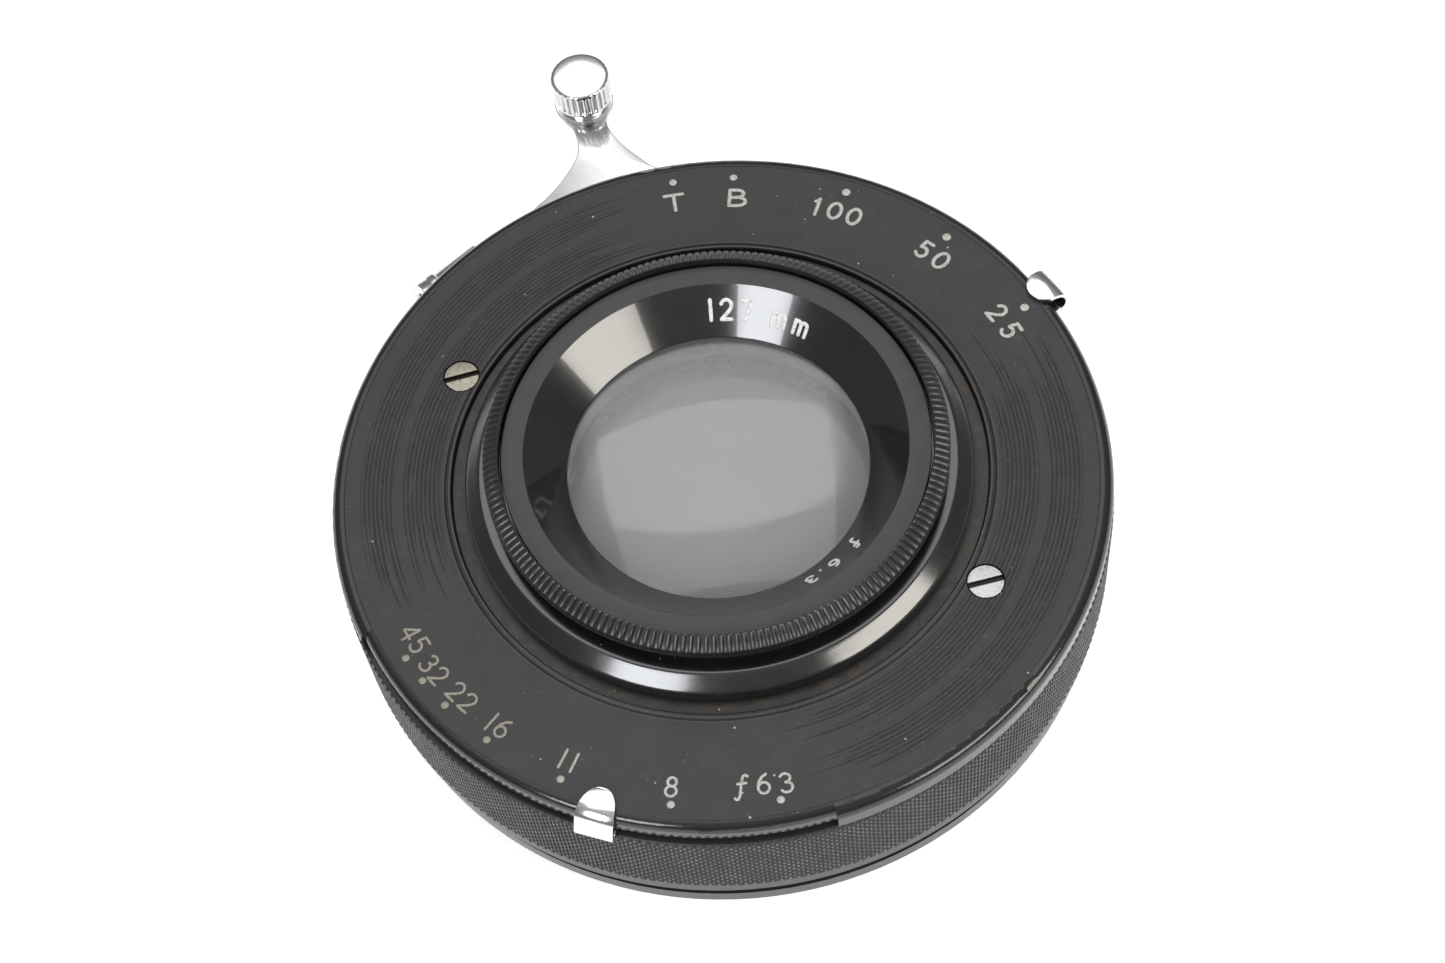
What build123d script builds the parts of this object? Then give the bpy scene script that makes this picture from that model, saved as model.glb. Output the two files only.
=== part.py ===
from build123d import *
from math import sin, cos, tan, radians, degrees, pi, sqrt, asin, hypot, atan2
import os

os.makedirs("parts", exist_ok=True)

# ---------------------------------------------------------------------------
# Large-format lens in a self-cocking leaf shutter.  Millimetres.
# Z is the optical axis, +Z out of the front glass, Z = 0 the rear seat that
# rests on a lens board, +Y the twelve o'clock of the speed scale.
# ---------------------------------------------------------------------------

# case
FACE_Z = 13.6            # top of the engraved face
FACE_T = 1.0
FACE_R = 28.35
RECESS_Z = 13.3           # floor of the turned recess round the barrel
PLATE_T = 1.2            # rear plate
PLATE_R = 28.9
WALL_RI, WALL_RO = 27.2, 28.2
LIP_R = 29.4
LIP_Z0, LIP_Z1 = 11.62, 13.6
LIP_FILLET = 0.9
SEAT_THREAD_R = 16.5     # rear mounting thread, outside radius
SEAT_THREAD_L = 6.5
REAR_BORE_R = 14.9
POST_R = 21.95           # pitch radius of the two face screws
POST_ANG = (181.4, -1.7)

# speed ring
RING_RO, RING_RI = 29.5, 28.3
RING_Z0, RING_Z1 = 2.6, 11.5
SPEED_REST = 57.3        # direction of the speed pointer
SPEED_MIN, SPEED_MAX = -1.4, 66.7

# aperture control
AP_REST = -81.2
AP_MIN, AP_MAX = -39.3, 26.5     # towards f45, towards f6.3
AP_OPEN = -54.7
LEAF_N = 10
LEAF_RHO, LEAF_W, LEAF_RP = 8.75, 3.6, 14.6
LEAF_TAIL = 6.0
LEAF_K = 29.48 / 65.8            # leaf turn per ring turn
LEAF_Z0, LEAF_PITCH, LEAF_T = 5.40, 0.15, 0.10
LEAF_PIN_R = 0.35
IRIS_RING_Z0, IRIS_RING_Z1 = 7.0, 7.7

# shutter
BLADE_RHO, BLADE_W, BLADE_RP = 9.0, 7.8, 17.6
BLADE_TAIL = 3.2
BLADE_E = 10.45
BLADE_OPEN = degrees(2 * asin(BLADE_E / (2 * BLADE_RP)))   # 34.7 deg
BLADE_Z = (3.15, 3.40, 3.65)
BLADE_T = 0.15
BLADE_ANG = (30.0, 150.0, 270.0)
BLADE_PIN_R = 0.40
PRESS = 14.0                     # release travel, degrees, clockwise
BLADE_K = -BLADE_OPEN / PRESS

# retard train
GEAR_M = 0.5
GEAR_Z, PINION_Z = 83, 11
GEAR_ANG = 270.0
GEAR_CD = GEAR_M * (GEAR_Z + PINION_Z) / 2

# release lever
KNOB_R, KNOB_ANG = 46.6, 132.0
LEVER_ANG = 132.2
LEVER_Z0, LEVER_Z1 = 1.3, 2.3
DRIVE_R, DRIVE_ANG = 24.3, 225.0
HOOK_ANG = 233.0
SPRING_POST_ANG = 255.0

# cable socket
SOCK_ANG, SOCK_D, SOCK_Z = 158.5, 33.7, 3.45
SOCK_RO, SOCK_RI = 2.25, 1.3

# front cell
RIM_R, RIM_RI = 17.3, 16.1
RIM_Z = FACE_Z + 4.45
FLANGE_R = 19.05


def pol(r, a):
    return (r * cos(radians(a)), r * sin(radians(a)))


def turn(p, a):
    c, s = cos(radians(a)), sin(radians(a))
    return (c * p[0] - s * p[1], s * p[0] + c * p[1])


def wedge(r, a0, a1, n=24):
    """Corner points of a pie slice from angle a0 to a1, wider than radius r."""
    pts = [(0.0, 0.0)]
    k = max(2, int(abs(a1 - a0) / n) + 2)
    for i in range(k):
        a = a0 + (a1 - a0) * i / (k - 1)
        pts.append(pol(r / cos(radians(abs(a1 - a0) / (k - 1) / 2)), a))
    return pts


def track(path, half):
    """Closed outline of a slot whose middle follows the path."""
    left, right = [], []
    n = len(path)
    for i, (x, y) in enumerate(path):
        x0, y0 = path[max(i - 1, 0)]
        x1, y1 = path[min(i + 1, n - 1)]
        dx, dy = x1 - x0, y1 - y0
        d = hypot(dx, dy)
        nx, ny = -dy / d, dx / d
        left.append((x + nx * half, y + ny * half))
        right.append((x - nx * half, y - ny * half))

    def cap(i, j):
        x, y = path[i]
        xb, yb = path[j]
        a = atan2(y - yb, x - xb)
        return [(x + half * cos(a + t), y + half * sin(a + t))
                for t in [pi / 2 - pi * k / 10 for k in range(1, 10)]]

    return left + cap(n - 1, n - 2) + right[::-1] + cap(0, 1)


def pin_at(rp, tail, pivot_ang, lift):
    """Drive pin of a leaf whose pivot is at pivot_ang and that has turned by lift."""
    cx, cy = pol(rp, pivot_ang)
    a = radians(pivot_ang + lift)
    return (cx - tail * sin(a), cy + tail * cos(a))


def slot_path(rp, tail, pivot_ang, lift0, ratio, lo, hi, n=26, over=0.4):
    """Path of a drive pin seen from a ring that turns from lo to hi (rest = 0)."""
    out = []
    for i in range(n):
        g = (lo - over) + (hi - lo + 2 * over) * i / (n - 1)
        out.append(turn(pin_at(rp, tail, pivot_ang, lift0 + ratio * g), -g))
    return out


def gear_pts(z, m, r_root, r_tip, backlash, phase, first, last):
    """Involute teeth first..last-1 of a gear, as one list of corners per tooth."""
    rp = m * z / 2
    rb = rp * cos(radians(20))
    half = (pi / 2 - backlash / m) / z
    inv = tan(radians(20)) - radians(20)
    teeth = []
    for k in range(first, last):
        c = radians(phase) + 2 * pi * k / z
        flank = []
        for i in range(7):
            r = max(rb, r_root) + (r_tip - max(rb, r_root)) * i / 6
            al = sqrt(max(0.0, (r / rb) ** 2 - 1))
            h = half + inv - (al - atan2(al, 1))
            flank.append((r, h))
        low = [(r_root - 0.25, flank[0][1])] + flank
        pts = [(r * cos(c - h), r * sin(c - h)) for r, h in low]
        pts += [(r * cos(c + h), r * sin(c + h)) for r, h in reversed(low)]
        teeth.append(pts)
    return teeth


# ===========================================================================
# CASE
# ===========================================================================
foot = pol(SOCK_D, SOCK_ANG)
tan_dir = (-sin(radians(SOCK_ANG)), cos(radians(SOCK_ANG)))     # towards larger angle

with BuildPart() as rear_plate:
    with BuildSketch(Plane.XY):
        Circle(PLATE_R)
        # ear that carries the cable socket
        with Locations(pol(31.2, SOCK_ANG)):
            Rectangle(9.6, 6.6, rotation=SOCK_ANG)
    extrude(amount=PLATE_T)
    with BuildSketch(Plane.XY.offset(-SEAT_THREAD_L)):
        Circle(SEAT_THREAD_R)
    extrude(amount=SEAT_THREAD_L)
    with BuildSketch(Plane.XY.offset(PLATE_T)):
        Circle(17.0)
    extrude(amount=1.25)
    with BuildSketch(Plane.XY.offset(-SEAT_THREAD_L)):
        Circle(REAR_BORE_R)
    extrude(amount=12, mode=Mode.SUBTRACT)
    # countersunk holes for the rear screws
    for a in POST_ANG:
        with BuildSketch(Plane.XY):
            with Locations(pol(POST_R, a)):
                Circle(0.85)
        extrude(amount=PLATE_T, mode=Mode.SUBTRACT)
        with BuildSketch(Plane.XY) as s1:
            with Locations(pol(POST_R, a)):
                Circle(1.5)
        with BuildSketch(Plane.XY.offset(0.65)) as s2:
            with Locations(pol(POST_R, a)):
                Circle(0.85)
        loft(mode=Mode.SUBTRACT)
rear_plate.part.label = "rear_plate"
export_step(rear_plate.part, "parts/rear_plate.step")

with BuildPart() as case_wall:
    with BuildSketch(Plane.XZ):
        with BuildLine():
            Polyline((WALL_RI, PLATE_T), (WALL_RO, PLATE_T), (WALL_RO, LIP_Z0), (LIP_R, LIP_Z0),
                     (LIP_R, LIP_Z1 - LIP_FILLET))
            RadiusArc((LIP_R, LIP_Z1 - LIP_FILLET), (LIP_R - LIP_FILLET, LIP_Z1), -LIP_FILLET)
            Polyline((LIP_R - LIP_FILLET, LIP_Z1), (28.41, LIP_Z1), (28.41, 12.55), (WALL_RI, 12.55),
                     (WALL_RI, PLATE_T))
        make_face()
    revolve(axis=Axis.Z)
    # pointer slots through the wall
    for a0, a1 in ((-127.5, -47.5), (48.5, 131.0)):
        with BuildSketch(Plane.XY.offset(11.4)):
            Circle(31)
            Circle(26.5, mode=Mode.SUBTRACT)
            Polygon(*wedge(32, a0, a1), align=None, mode=Mode.INTERSECT)
        extrude(amount=0.75, mode=Mode.SUBTRACT)
    # the shoulder is turned down a little along the aperture slot
    _c, _s = cos(radians(-127.5)), sin(radians(-127.5))
    with BuildSketch(Plane(origin=(0, 0, 0), x_dir=(_c, _s, 0), z_dir=(_s, -_c, 0))):
        with BuildLine():
            Polyline((28.41, 13.6), (28.41, 14.2), (30.5, 14.2), (30.5, 11.0), (29.05, 11.0), (29.05, 12.88))
            RadiusArc((29.05, 12.88), (28.41, 13.6), -0.74)
        make_face()
    revolve(axis=Axis.Z, revolution_arc=80.0, mode=Mode.SUBTRACT)
    # window for the release lever
    with BuildSketch(Plane.XY.offset(PLATE_T)):
        Circle(30)
        Circle(25, mode=Mode.SUBTRACT)
        Polygon(*wedge(31, 95.5, 155), align=None, mode=Mode.INTERSECT)
    extrude(amount=1.3, mode=Mode.SUBTRACT)
case_wall.part.label = "case_wall"
export_step(case_wall.part, "parts/case_wall.step")

with BuildPart() as face_plate:
    with BuildSketch(Plane.XZ):
        with BuildLine():
            Polyline((14.05, 9.0), (15.6, 9.0), (15.6, 12.6), (FACE_R, 12.6), (FACE_R, 13.55),
                     (FACE_R - 0.05, FACE_Z), (20.78, FACE_Z), (20.62, 13.68), (20.45, 13.72), (20.3, 13.7),
                     (20.2, 13.6), (20.12, RECESS_Z), (14.05, RECESS_Z), (14.05, 9.0))
        make_face()
    revolve(axis=Axis.Z)
    for a in POST_ANG:
        with BuildSketch(Plane.XY.offset(12.6)):
            with Locations(pol(POST_R, a)):
                Circle(0.9)
        extrude(amount=1.0, mode=Mode.SUBTRACT)
        with BuildSketch(Plane.XY.offset(13.15)):
            with Locations(pol(POST_R, a)):
                Circle(1.44)
        extrude(amount=0.6, mode=Mode.SUBTRACT)
face_plate.part.label = "face_plate"
export_step(face_plate.part, "parts/face_plate.step")

with BuildPart() as face_screws:
    for a, sl in ((POST_ANG[0], 50.0), (POST_ANG[1], 40.0)):
        with BuildSketch(Plane.XY.offset(8.6)):
            with Locations(pol(POST_R, a)):
                Circle(0.8)
        extrude(amount=4.7)
        with BuildSketch(Plane.XY.offset(13.18)):
            with Locations(pol(POST_R, a)):
                Circle(1.35)
        extrude(amount=0.42)
        with BuildSketch(Plane.XY.offset(13.28)):
            with Locations(pol(POST_R, a)):
                Rectangle(3.2, 0.4, rotation=sl)
        extrude(amount=0.5, mode=Mode.SUBTRACT)
face_screws.part.label = "face_screws"
export_step(face_screws.part, "parts/face_screws.step")

with BuildPart() as rear_screws:
    for a in POST_ANG:
        with BuildSketch(Plane.XY.offset(0.05)):
            with Locations(pol(POST_R, a)):
                Circle(1.4)
        with BuildSketch(Plane.XY.offset(0.62)):
            with Locations(pol(POST_R, a)):
                Circle(0.8)
        loft()
        with BuildSketch(Plane.XY.offset(0.5)):
            with Locations(pol(POST_R, a)):
                Circle(0.8)
        extrude(amount=4.0)
        with BuildSketch(Plane.XY.offset(0.05)):
            with Locations(pol(POST_R, a)):
                Rectangle(3.2, 0.4, rotation=20)
        extrude(amount=0.35, mode=Mode.SUBTRACT)
rear_screws.part.label = "rear_screws"
export_step(rear_screws.part, "parts/rear_screws.step")

with BuildPart() as case_posts:
    for a in POST_ANG:
        with BuildSketch(Plane.XY.offset(PLATE_T)):
            with Locations(pol(POST_R, a)):
                Circle(1.5)
                Circle(0.82, mode=Mode.SUBTRACT)
        extrude(amount=12.6 - PLATE_T)
case_posts.part.label = "case_posts"
export_step(case_posts.part, "parts/case_posts.step")

with BuildPart() as cable_socket:
    pl = Plane(origin=(foot[0] + 3.2 * tan_dir[0], foot[1] + 3.2 * tan_dir[1], SOCK_Z),
               z_dir=(-tan_dir[0], -tan_dir[1], 0))
    with BuildSketch(pl):
        Circle(SOCK_RO)
    extrude(amount=1.8)
    with BuildSketch(pl.offset(1.8)):
        Circle(SOCK_RO - 0.2)
    extrude(amount=4.4)
    with BuildSketch(pl):
        Circle(SOCK_RI)
    extrude(amount=6.2, mode=Mode.SUBTRACT)
cable_socket.part.label = "cable_socket"
export_step(cable_socket.part, "parts/cable_socket.step")

# ===========================================================================
# SPEED RING
# ===========================================================================
with BuildPart() as speed_ring:
    with BuildSketch(Plane.XZ):
        with BuildLine():
            Polyline((RING_RI, RING_Z0), (29.0, RING_Z0), (29.35, 2.95), (29.35, 4.1), (RING_RO, 4.2),
                     (RING_RO, 11.35), (RING_RO - 0.15, RING_Z1), (RING_RI, RING_Z1), (RING_RI, RING_Z0))
        make_face()
    revolve(axis=Axis.Z)
speed_ring.part.label = "speed_ring"
export_step(speed_ring.part, "parts/speed_ring.step")


with BuildPart() as speed_pointer:
    ppl = Plane(origin=(0, 0, 0), x_dir=(cos(radians(SPEED_REST)), sin(radians(SPEED_REST)), 0),
                z_dir=(sin(radians(SPEED_REST)), -cos(radians(SPEED_REST)), 0))
    # strip that leaves the case over the ring and curls back over the lip onto the face
    with BuildSketch(ppl):
        Polygon((24.0, RING_Z1), (30.05, RING_Z1), (30.4, 11.56), (30.7, 11.78), (30.88, 12.15), (30.92, 12.6),
                (30.8, 13.1), (30.52, 13.52), (30.1, 13.82), (29.6, 13.97), (29.2, 14.0), (28.1, 14.0),
                (28.1, 13.66), (29.2, 13.66), (29.52, 13.64), (29.92, 13.52), (30.24, 13.29), (30.46, 12.96),
                (30.56, 12.58), (30.53, 12.26), (30.4, 12.02), (30.2, 11.89), (30.0, RING_Z1 + 0.35),
                (24.0, RING_Z1 + 0.35), align=None)
    extrude(amount=1.4, both=True)
    # rounded nose on the face
    with BuildSketch(Plane(origin=(0, 0, 13.0), x_dir=(cos(radians(SPEED_REST)), sin(radians(SPEED_REST)), 0),
                           z_dir=(0, 0, 1))):
        with BuildLine():
            Polyline((27.5, 2.0), (27.5, -2.0), (29.4, -2.0), (29.4, -1.4), (28.9, -1.26), (28.45, -0.94),
                     (28.2, -0.5), (28.1, 0.0), (28.2, 0.5), (28.45, 0.94), (28.9, 1.26), (29.4, 1.4),
                     (29.4, 2.0), (27.5, 2.0))
        make_face()
    extrude(amount=1.5, mode=Mode.SUBTRACT)
speed_pointer.part.label = "speed_pointer"
export_step(speed_pointer.part, "parts/speed_pointer.step")

# speed cam: a sector plate riveted under the pointer's inner foot
SEL_PIV = (23.0, 122.0)      # selector pivot, polar
SEL_PIN = (22.4, 103.0)      # selector pin at rest, polar
SEL_SWING = 12.0             # selector turn over the whole speed range
SEL_K = SEL_SWING / (SPEED_MAX - SPEED_MIN)
_pp, _pc = pol(*SEL_PIN), pol(*SEL_PIV)
_sl = hypot(_pp[0] - _pc[0], _pp[1] - _pc[1])
_sa = degrees(atan2(_pp[1] - _pc[1], _pp[0] - _pc[0]))


def selector_pin(g):
    a = radians(_sa + SEL_K * g)
    return (_pc[0] + _sl * cos(a), _pc[1] + _sl * sin(a))


with BuildPart() as speed_cam:
    with BuildSketch(Plane.XY.offset(11.1)):
        Circle(26.9)
        Circle(20.7, mode=Mode.SUBTRACT)
        Polygon(*wedge(28, 31.5, 107.5), align=None, mode=Mode.INTERSECT)
        n = 26
        cam_path = []
        for i in range(n):
            g = (SPEED_MIN - 0.6) + (SPEED_MAX - SPEED_MIN + 1.2) * i / (n - 1)
            cam_path.append(turn(selector_pin(g), -g))
        Polygon(*track(cam_path, 0.52), align=None, mode=Mode.SUBTRACT)
    extrude(amount=0.4)
speed_cam.part.label = "speed_cam"
export_step(speed_cam.part, "parts/speed_cam.step")

with BuildPart() as retard_selector:
    spl = Plane(origin=(_pc[0], _pc[1], 10.3), x_dir=(cos(radians(_sa)), sin(radians(_sa)), 0), z_dir=(0, 0, 1))
    with BuildSketch(spl):
        Circle(1.3)
        with Locations((_sl, 0)):
            Circle(0.9)
        with Locations((_sl / 2, 0)):
            Rectangle(_sl, 1.5)
        with Locations((-2.6, -0.2)):
            Rectangle(4.6, 1.2)
        Circle(0.66, mode=Mode.SUBTRACT)
    extrude(amount=0.45)
    with BuildSketch(spl):
        with Locations((_sl, 0)):
            Circle(0.42)
    extrude(amount=1.15)
retard_selector.part.label = "retard_selector"
export_step(retard_selector.part, "parts/retard_selector.step")

# ===========================================================================
# RELEASE LEVER: a ring that turns on the rear boss, with an outside arm
# ===========================================================================
left_edge = [(45.8, 2.45), (44.6, 1.85), (43.96, 1.55), (42.89, 1.5), (41.87, 1.62), (40.96, 2.0), (39.96, 2.75),
             (38.95, 3.75), (38.05, 4.8), (37.35, 5.78), (36.83, 6.69), (35.9, 7.8), (34.6, 8.8), (32.6, 9.5),
             (29.5, 9.75), (26.0, 9.8)]
right_edge = [(26.0, -9.8), (29.5, -9.75), (32.6, -9.4), (34.7, -8.3), (36.0, -6.8), (36.9, -5.3), (37.83, -4.05), (39.2, -3.15),
              (40.38, -2.47), (41.65, -1.89), (42.83, -1.57), (43.8, -1.5), (44.6, -1.85), (45.8, -2.45)]
lever_plane = Plane(origin=(0, 0, LEVER_Z0), x_dir=(cos(radians(LEVER_ANG)), sin(radians(LEVER_ANG)), 0),
                    z_dir=(0, 0, 1))
knob_local = turn(pol(KNOB_R, KNOB_ANG), -LEVER_ANG)
ear_t = 8.4
ear_xy = (foot[0] - ear_t * tan_dir[0], foot[1] - ear_t * tan_dir[1])
ear_c = (ear_xy[0] - 0.55 * cos(radians(SOCK_ANG)), ear_xy[1] - 0.55 * sin(radians(SOCK_ANG)))

with BuildPart() as release_lever:
    with BuildSketch(lever_plane):
        with BuildLine():
            Polyline((20.0, 11.0), (20.0, -11.0), *right_edge, (45.8, 0.0), *left_edge, (20.0, 11.0))
        make_face()
        with Locations(knob_local):
            Circle(2.62)
    extrude(amount=LEVER_Z1 - LEVER_Z0)
    with BuildSketch(Plane.XY.offset(LEVER_Z0)):
        Circle(26.6)
    extrude(amount=LEVER_Z1 - LEVER_Z0)
    with BuildSketch(Plane.XY.offset(LEVER_Z0)):
        Circle(17.06)
        # clearance arcs for the two posts
        for a in POST_ANG:
            Polygon(*track([pol(POST_R, a - 1.2 + 17.4 * i / 14) for i in range(15)], 1.85), align=None)
    extrude(amount=2, mode=Mode.SUBTRACT)
    # hole for the knob rivet
    with BuildSketch(Plane.XY.offset(LEVER_Z0)):
        with Locations(pol(KNOB_R, KNOB_ANG)):
            Circle(0.75)
    extrude(amount=2, mode=Mode.SUBTRACT)
    # ear that the cable plunger pushes
    with BuildSketch(Plane.XY.offset(LEVER_Z1 - 0.2)):
        with Locations(ear_c):
            Rectangle(1.9, 0.9, rotation=SOCK_ANG)
    extrude(amount=2.1)
release_lever.part.label = "release_lever"
export_step(release_lever.part, "parts/release_lever.step")

with BuildPart() as release_knob:
    with BuildSketch(Plane.XY.offset(LEVER_Z0)):
        with Locations(pol(KNOB_R, KNOB_ANG)):
            Circle(0.75)
    extrude(amount=1.5)
    with BuildSketch(Plane.XY.offset(LEVER_Z1)):
        with Locations(pol(KNOB_R, KNOB_ANG)):
            Circle(2.2)
    extrude(amount=0.85)
    with BuildSketch(Plane.XY.offset(LEVER_Z1 + 0.8)):
        with Locations(pol(KNOB_R, KNOB_ANG)):
            Circle(2.6)
    extrude(amount=2.8)
    chamfer(release_knob.faces().sort_by(Axis.Z)[-1].edges(), 0.2)
release_knob.part.label = "release_knob"
export_step(release_knob.part, "parts/release_knob.step")

with BuildPart() as lever_drive_pin:
    with BuildSketch(Plane.XY.offset(LEVER_Z1)):
        with Locations(pol(DRIVE_R, DRIVE_ANG)):
            Circle(0.7)
    extrude(amount=2.2)
lever_drive_pin.part.label = "lever_drive_pin"
export_step(lever_drive_pin.part, "parts/lever_drive_pin.step")

with BuildPart() as spring_stud:
    with BuildSketch(Plane.XY.offset(LEVER_Z1)):
        with Locations(pol(DRIVE_R, HOOK_ANG)):
            Circle(0.4)
    extrude(amount=2.2)
spring_stud.part.label = "spring_stud"
export_step(spring_stud.part, "parts/spring_stud.step")

# ===========================================================================
# SHUTTER: blade plate, three blades, drive ring, retard pinion
# ===========================================================================
with BuildPart() as blade_plate:
    with BuildSketch(Plane.XY.offset(2.45)):
        Circle(27.15)
        Circle(8.9, mode=Mode.SUBTRACT)
        for a in POST_ANG:
            with Locations(pol(POST_R, a)):
                Circle(1.55, mode=Mode.SUBTRACT)
        for a in BLADE_ANG:
            with Locations(pol(BLADE_RP, a)):
                Circle(BLADE_PIN_R + 0.05, mode=Mode.SUBTRACT)
        with Locations(pol(GEAR_CD, GEAR_ANG)):
            Circle(0.55, mode=Mode.SUBTRACT)
        Polygon(*track([pol(DRIVE_R, DRIVE_ANG - PRESS - 1.2 + (HOOK_ANG - DRIVE_ANG + PRESS + 2.4) * i / 20)
                        for i in range(21)], 0.95), align=None, mode=Mode.SUBTRACT)
    extrude(amount=0.6)
blade_plate.part.label = "blade_plate"
export_step(blade_plate.part, "parts/blade_plate.step")


def leaf_plane(rp, ang, lift, z):
    cx, cy = pol(rp, ang)
    return Plane(origin=(cx, cy, z), x_dir=(cos(radians(ang + lift)), sin(radians(ang + lift)), 0), z_dir=(0, 0, 1))


def leaf_face(rho, w, rp, reach, ear, tail, tail_w):
    """Leaf outline in its own plane: pivot at the origin, optical axis at (-rp, 0) when open."""
    rm, hw = rho + w / 2, w / 2
    a_in = [(rho * cos(radians(-reach * i / 30)) - rp, rho * sin(radians(-reach * i / 30))) for i in range(31)]
    a_out = [((rho + w) * cos(radians(-reach * i / 30)) - rp, (rho + w) * sin(radians(-reach * i / 30)))
             for i in range(31)]
    end = radians(-reach)
    tip = [(rm * cos(end) - rp + hw * cos(end - pi * k / 8), rm * sin(end) + hw * sin(end - pi * k / 8))
           for k in range(1, 8)]
    body = a_out + tip + a_in[::-1]
    bridge = [(rho - rp + 0.02, 0.0), (rho + w - rp, ear * 0.9), (0.0, ear), (0.0, -ear), (-0.6, -ear * 1.6),
              (rho + w - rp - 0.3, -2.6), (rho - rp + 0.4, -2.2)]
    return body, bridge


shutter_blades = []
for i in range(3):
    with BuildPart() as blade:
        pl = leaf_plane(BLADE_RP, BLADE_ANG[i], -BLADE_OPEN, BLADE_Z[i])
        body, bridge = leaf_face(BLADE_RHO, BLADE_W, BLADE_RP, 110.0, 1.2, BLADE_TAIL, 1.7)
        with BuildSketch(pl):
            Polygon(*body, align=None)
            Polygon(*bridge, align=None)
            Circle(1.2)
            with Locations((0, BLADE_TAIL / 2)):
                Rectangle(1.7, BLADE_TAIL)
            with Locations((0, BLADE_TAIL)):
                Circle(0.85)
            with Locations((-BLADE_RP, 0)):
                Circle(BLADE_RHO, mode=Mode.SUBTRACT)
        extrude(amount=BLADE_T)
        with BuildSketch(pl.offset(-(BLADE_Z[i] - 2.6))):
            Circle(BLADE_PIN_R)
        extrude(amount=BLADE_Z[i] - 2.6 + 0.1)
        with BuildSketch(pl):
            with Locations((0, BLADE_TAIL)):
                Circle(BLADE_PIN_R)
        extrude(amount=4.5 - BLADE_Z[i])
    blade.part.label = f"shutter_blade_{i + 1}"
    export_step(blade.part, f"parts/shutter_blade_{i + 1}.step")
    shutter_blades.append(blade.part)

with BuildPart() as drive_ring:
    with BuildSketch(Plane.XY.offset(3.95)):
        Circle(20.15)
        # radial tab for the lever's pin
        with Locations(pol(22.4, DRIVE_ANG)):
            Rectangle(7.4, 3.4, rotation=DRIVE_ANG)
        # toothed sector for the retard pinion
        for t in gear_pts(GEAR_Z, GEAR_M, 20.15, 21.2, 0.10, GEAR_ANG + 180.0 / GEAR_Z, -2, 6):
            Polygon(*t, align=None)
        Circle(13.06, mode=Mode.SUBTRACT)
        with Locations(pol(DRIVE_R, DRIVE_ANG)):
            Circle(0.75, mode=Mode.SUBTRACT)
        for a in BLADE_ANG:
            p = slot_path(BLADE_RP, BLADE_TAIL, a, -BLADE_OPEN, BLADE_K, -PRESS, 0.0)
            Polygon(*track(p, BLADE_PIN_R + 0.07), align=None, mode=Mode.SUBTRACT)
    extrude(amount=0.6)
drive_ring.part.label = "drive_ring"
export_step(drive_ring.part, "parts/drive_ring.step")

pin_c = pol(GEAR_CD, GEAR_ANG)
with BuildPart() as retard_pinion:
    with BuildSketch(Plane(origin=(pin_c[0], pin_c[1], 3.9), x_dir=(1, 0, 0), z_dir=(0, 0, 1))):
        Circle(2.2)
        for t in gear_pts(PINION_Z, GEAR_M, 2.15, 3.2, 0.10, GEAR_ANG - 180.0, 0, PINION_Z):
            Polygon(*t, align=None)
    extrude(amount=0.7)
    with BuildSketch(Plane(origin=(pin_c[0], pin_c[1], 2.5), x_dir=(1, 0, 0), z_dir=(0, 0, 1))):
        Circle(0.5)
    extrude(amount=3.8)
retard_pinion.part.label = "retard_pinion"
export_step(retard_pinion.part, "parts/retard_pinion.step")

with BuildPart() as inertia_wheel:
    with BuildSketch(Plane(origin=(pin_c[0], pin_c[1], 5.45), x_dir=(1, 0, 0), z_dir=(0, 0, 1))):
        Circle(3.05)
        with PolarLocations(1.9, 4):
            Circle(0.5, mode=Mode.SUBTRACT)
        Circle(0.5, mode=Mode.SUBTRACT)
    extrude(amount=0.7)
inertia_wheel.part.label = "inertia_wheel"
export_step(inertia_wheel.part, "parts/inertia_wheel.step")

sp0, sp1 = pol(DRIVE_R, HOOK_ANG), pol(DRIVE_R, SPRING_POST_ANG)
with BuildPart() as spring_post:
    with BuildSketch(Plane.XY.offset(3.05)):
        with Locations(sp1):
            Circle(0.4)
    extrude(amount=1.6)
spring_post.part.label = "spring_post"
export_step(spring_post.part, "parts/spring_post.step")

sd = (sp1[0] - sp0[0], sp1[1] - sp0[1])
sl_ = hypot(*sd)
su = (sd[0] / sl_, sd[1] / sl_)
SPR_Z, SPR_R, WIRE_R = 3.88, 0.52, 0.11
coil_l = sl_ - 3.4
c0 = (sp0[0] + su[0] * 1.7, sp0[1] + su[1] * 1.7)
with BuildPart() as return_spring:
    with BuildLine():
        hx = Helix(pitch=0.42, height=coil_l, radius=SPR_R, center=(c0[0], c0[1], SPR_Z),
                   direction=(su[0], su[1], 0))
    with BuildSketch(Plane(origin=hx @ 0, z_dir=hx % 0)):
        Circle(WIRE_R)
    sweep(path=hx, is_frenet=True)
return_spring.part.label = "return_spring"
export_step(return_spring.part, "parts/return_spring.step")

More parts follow.
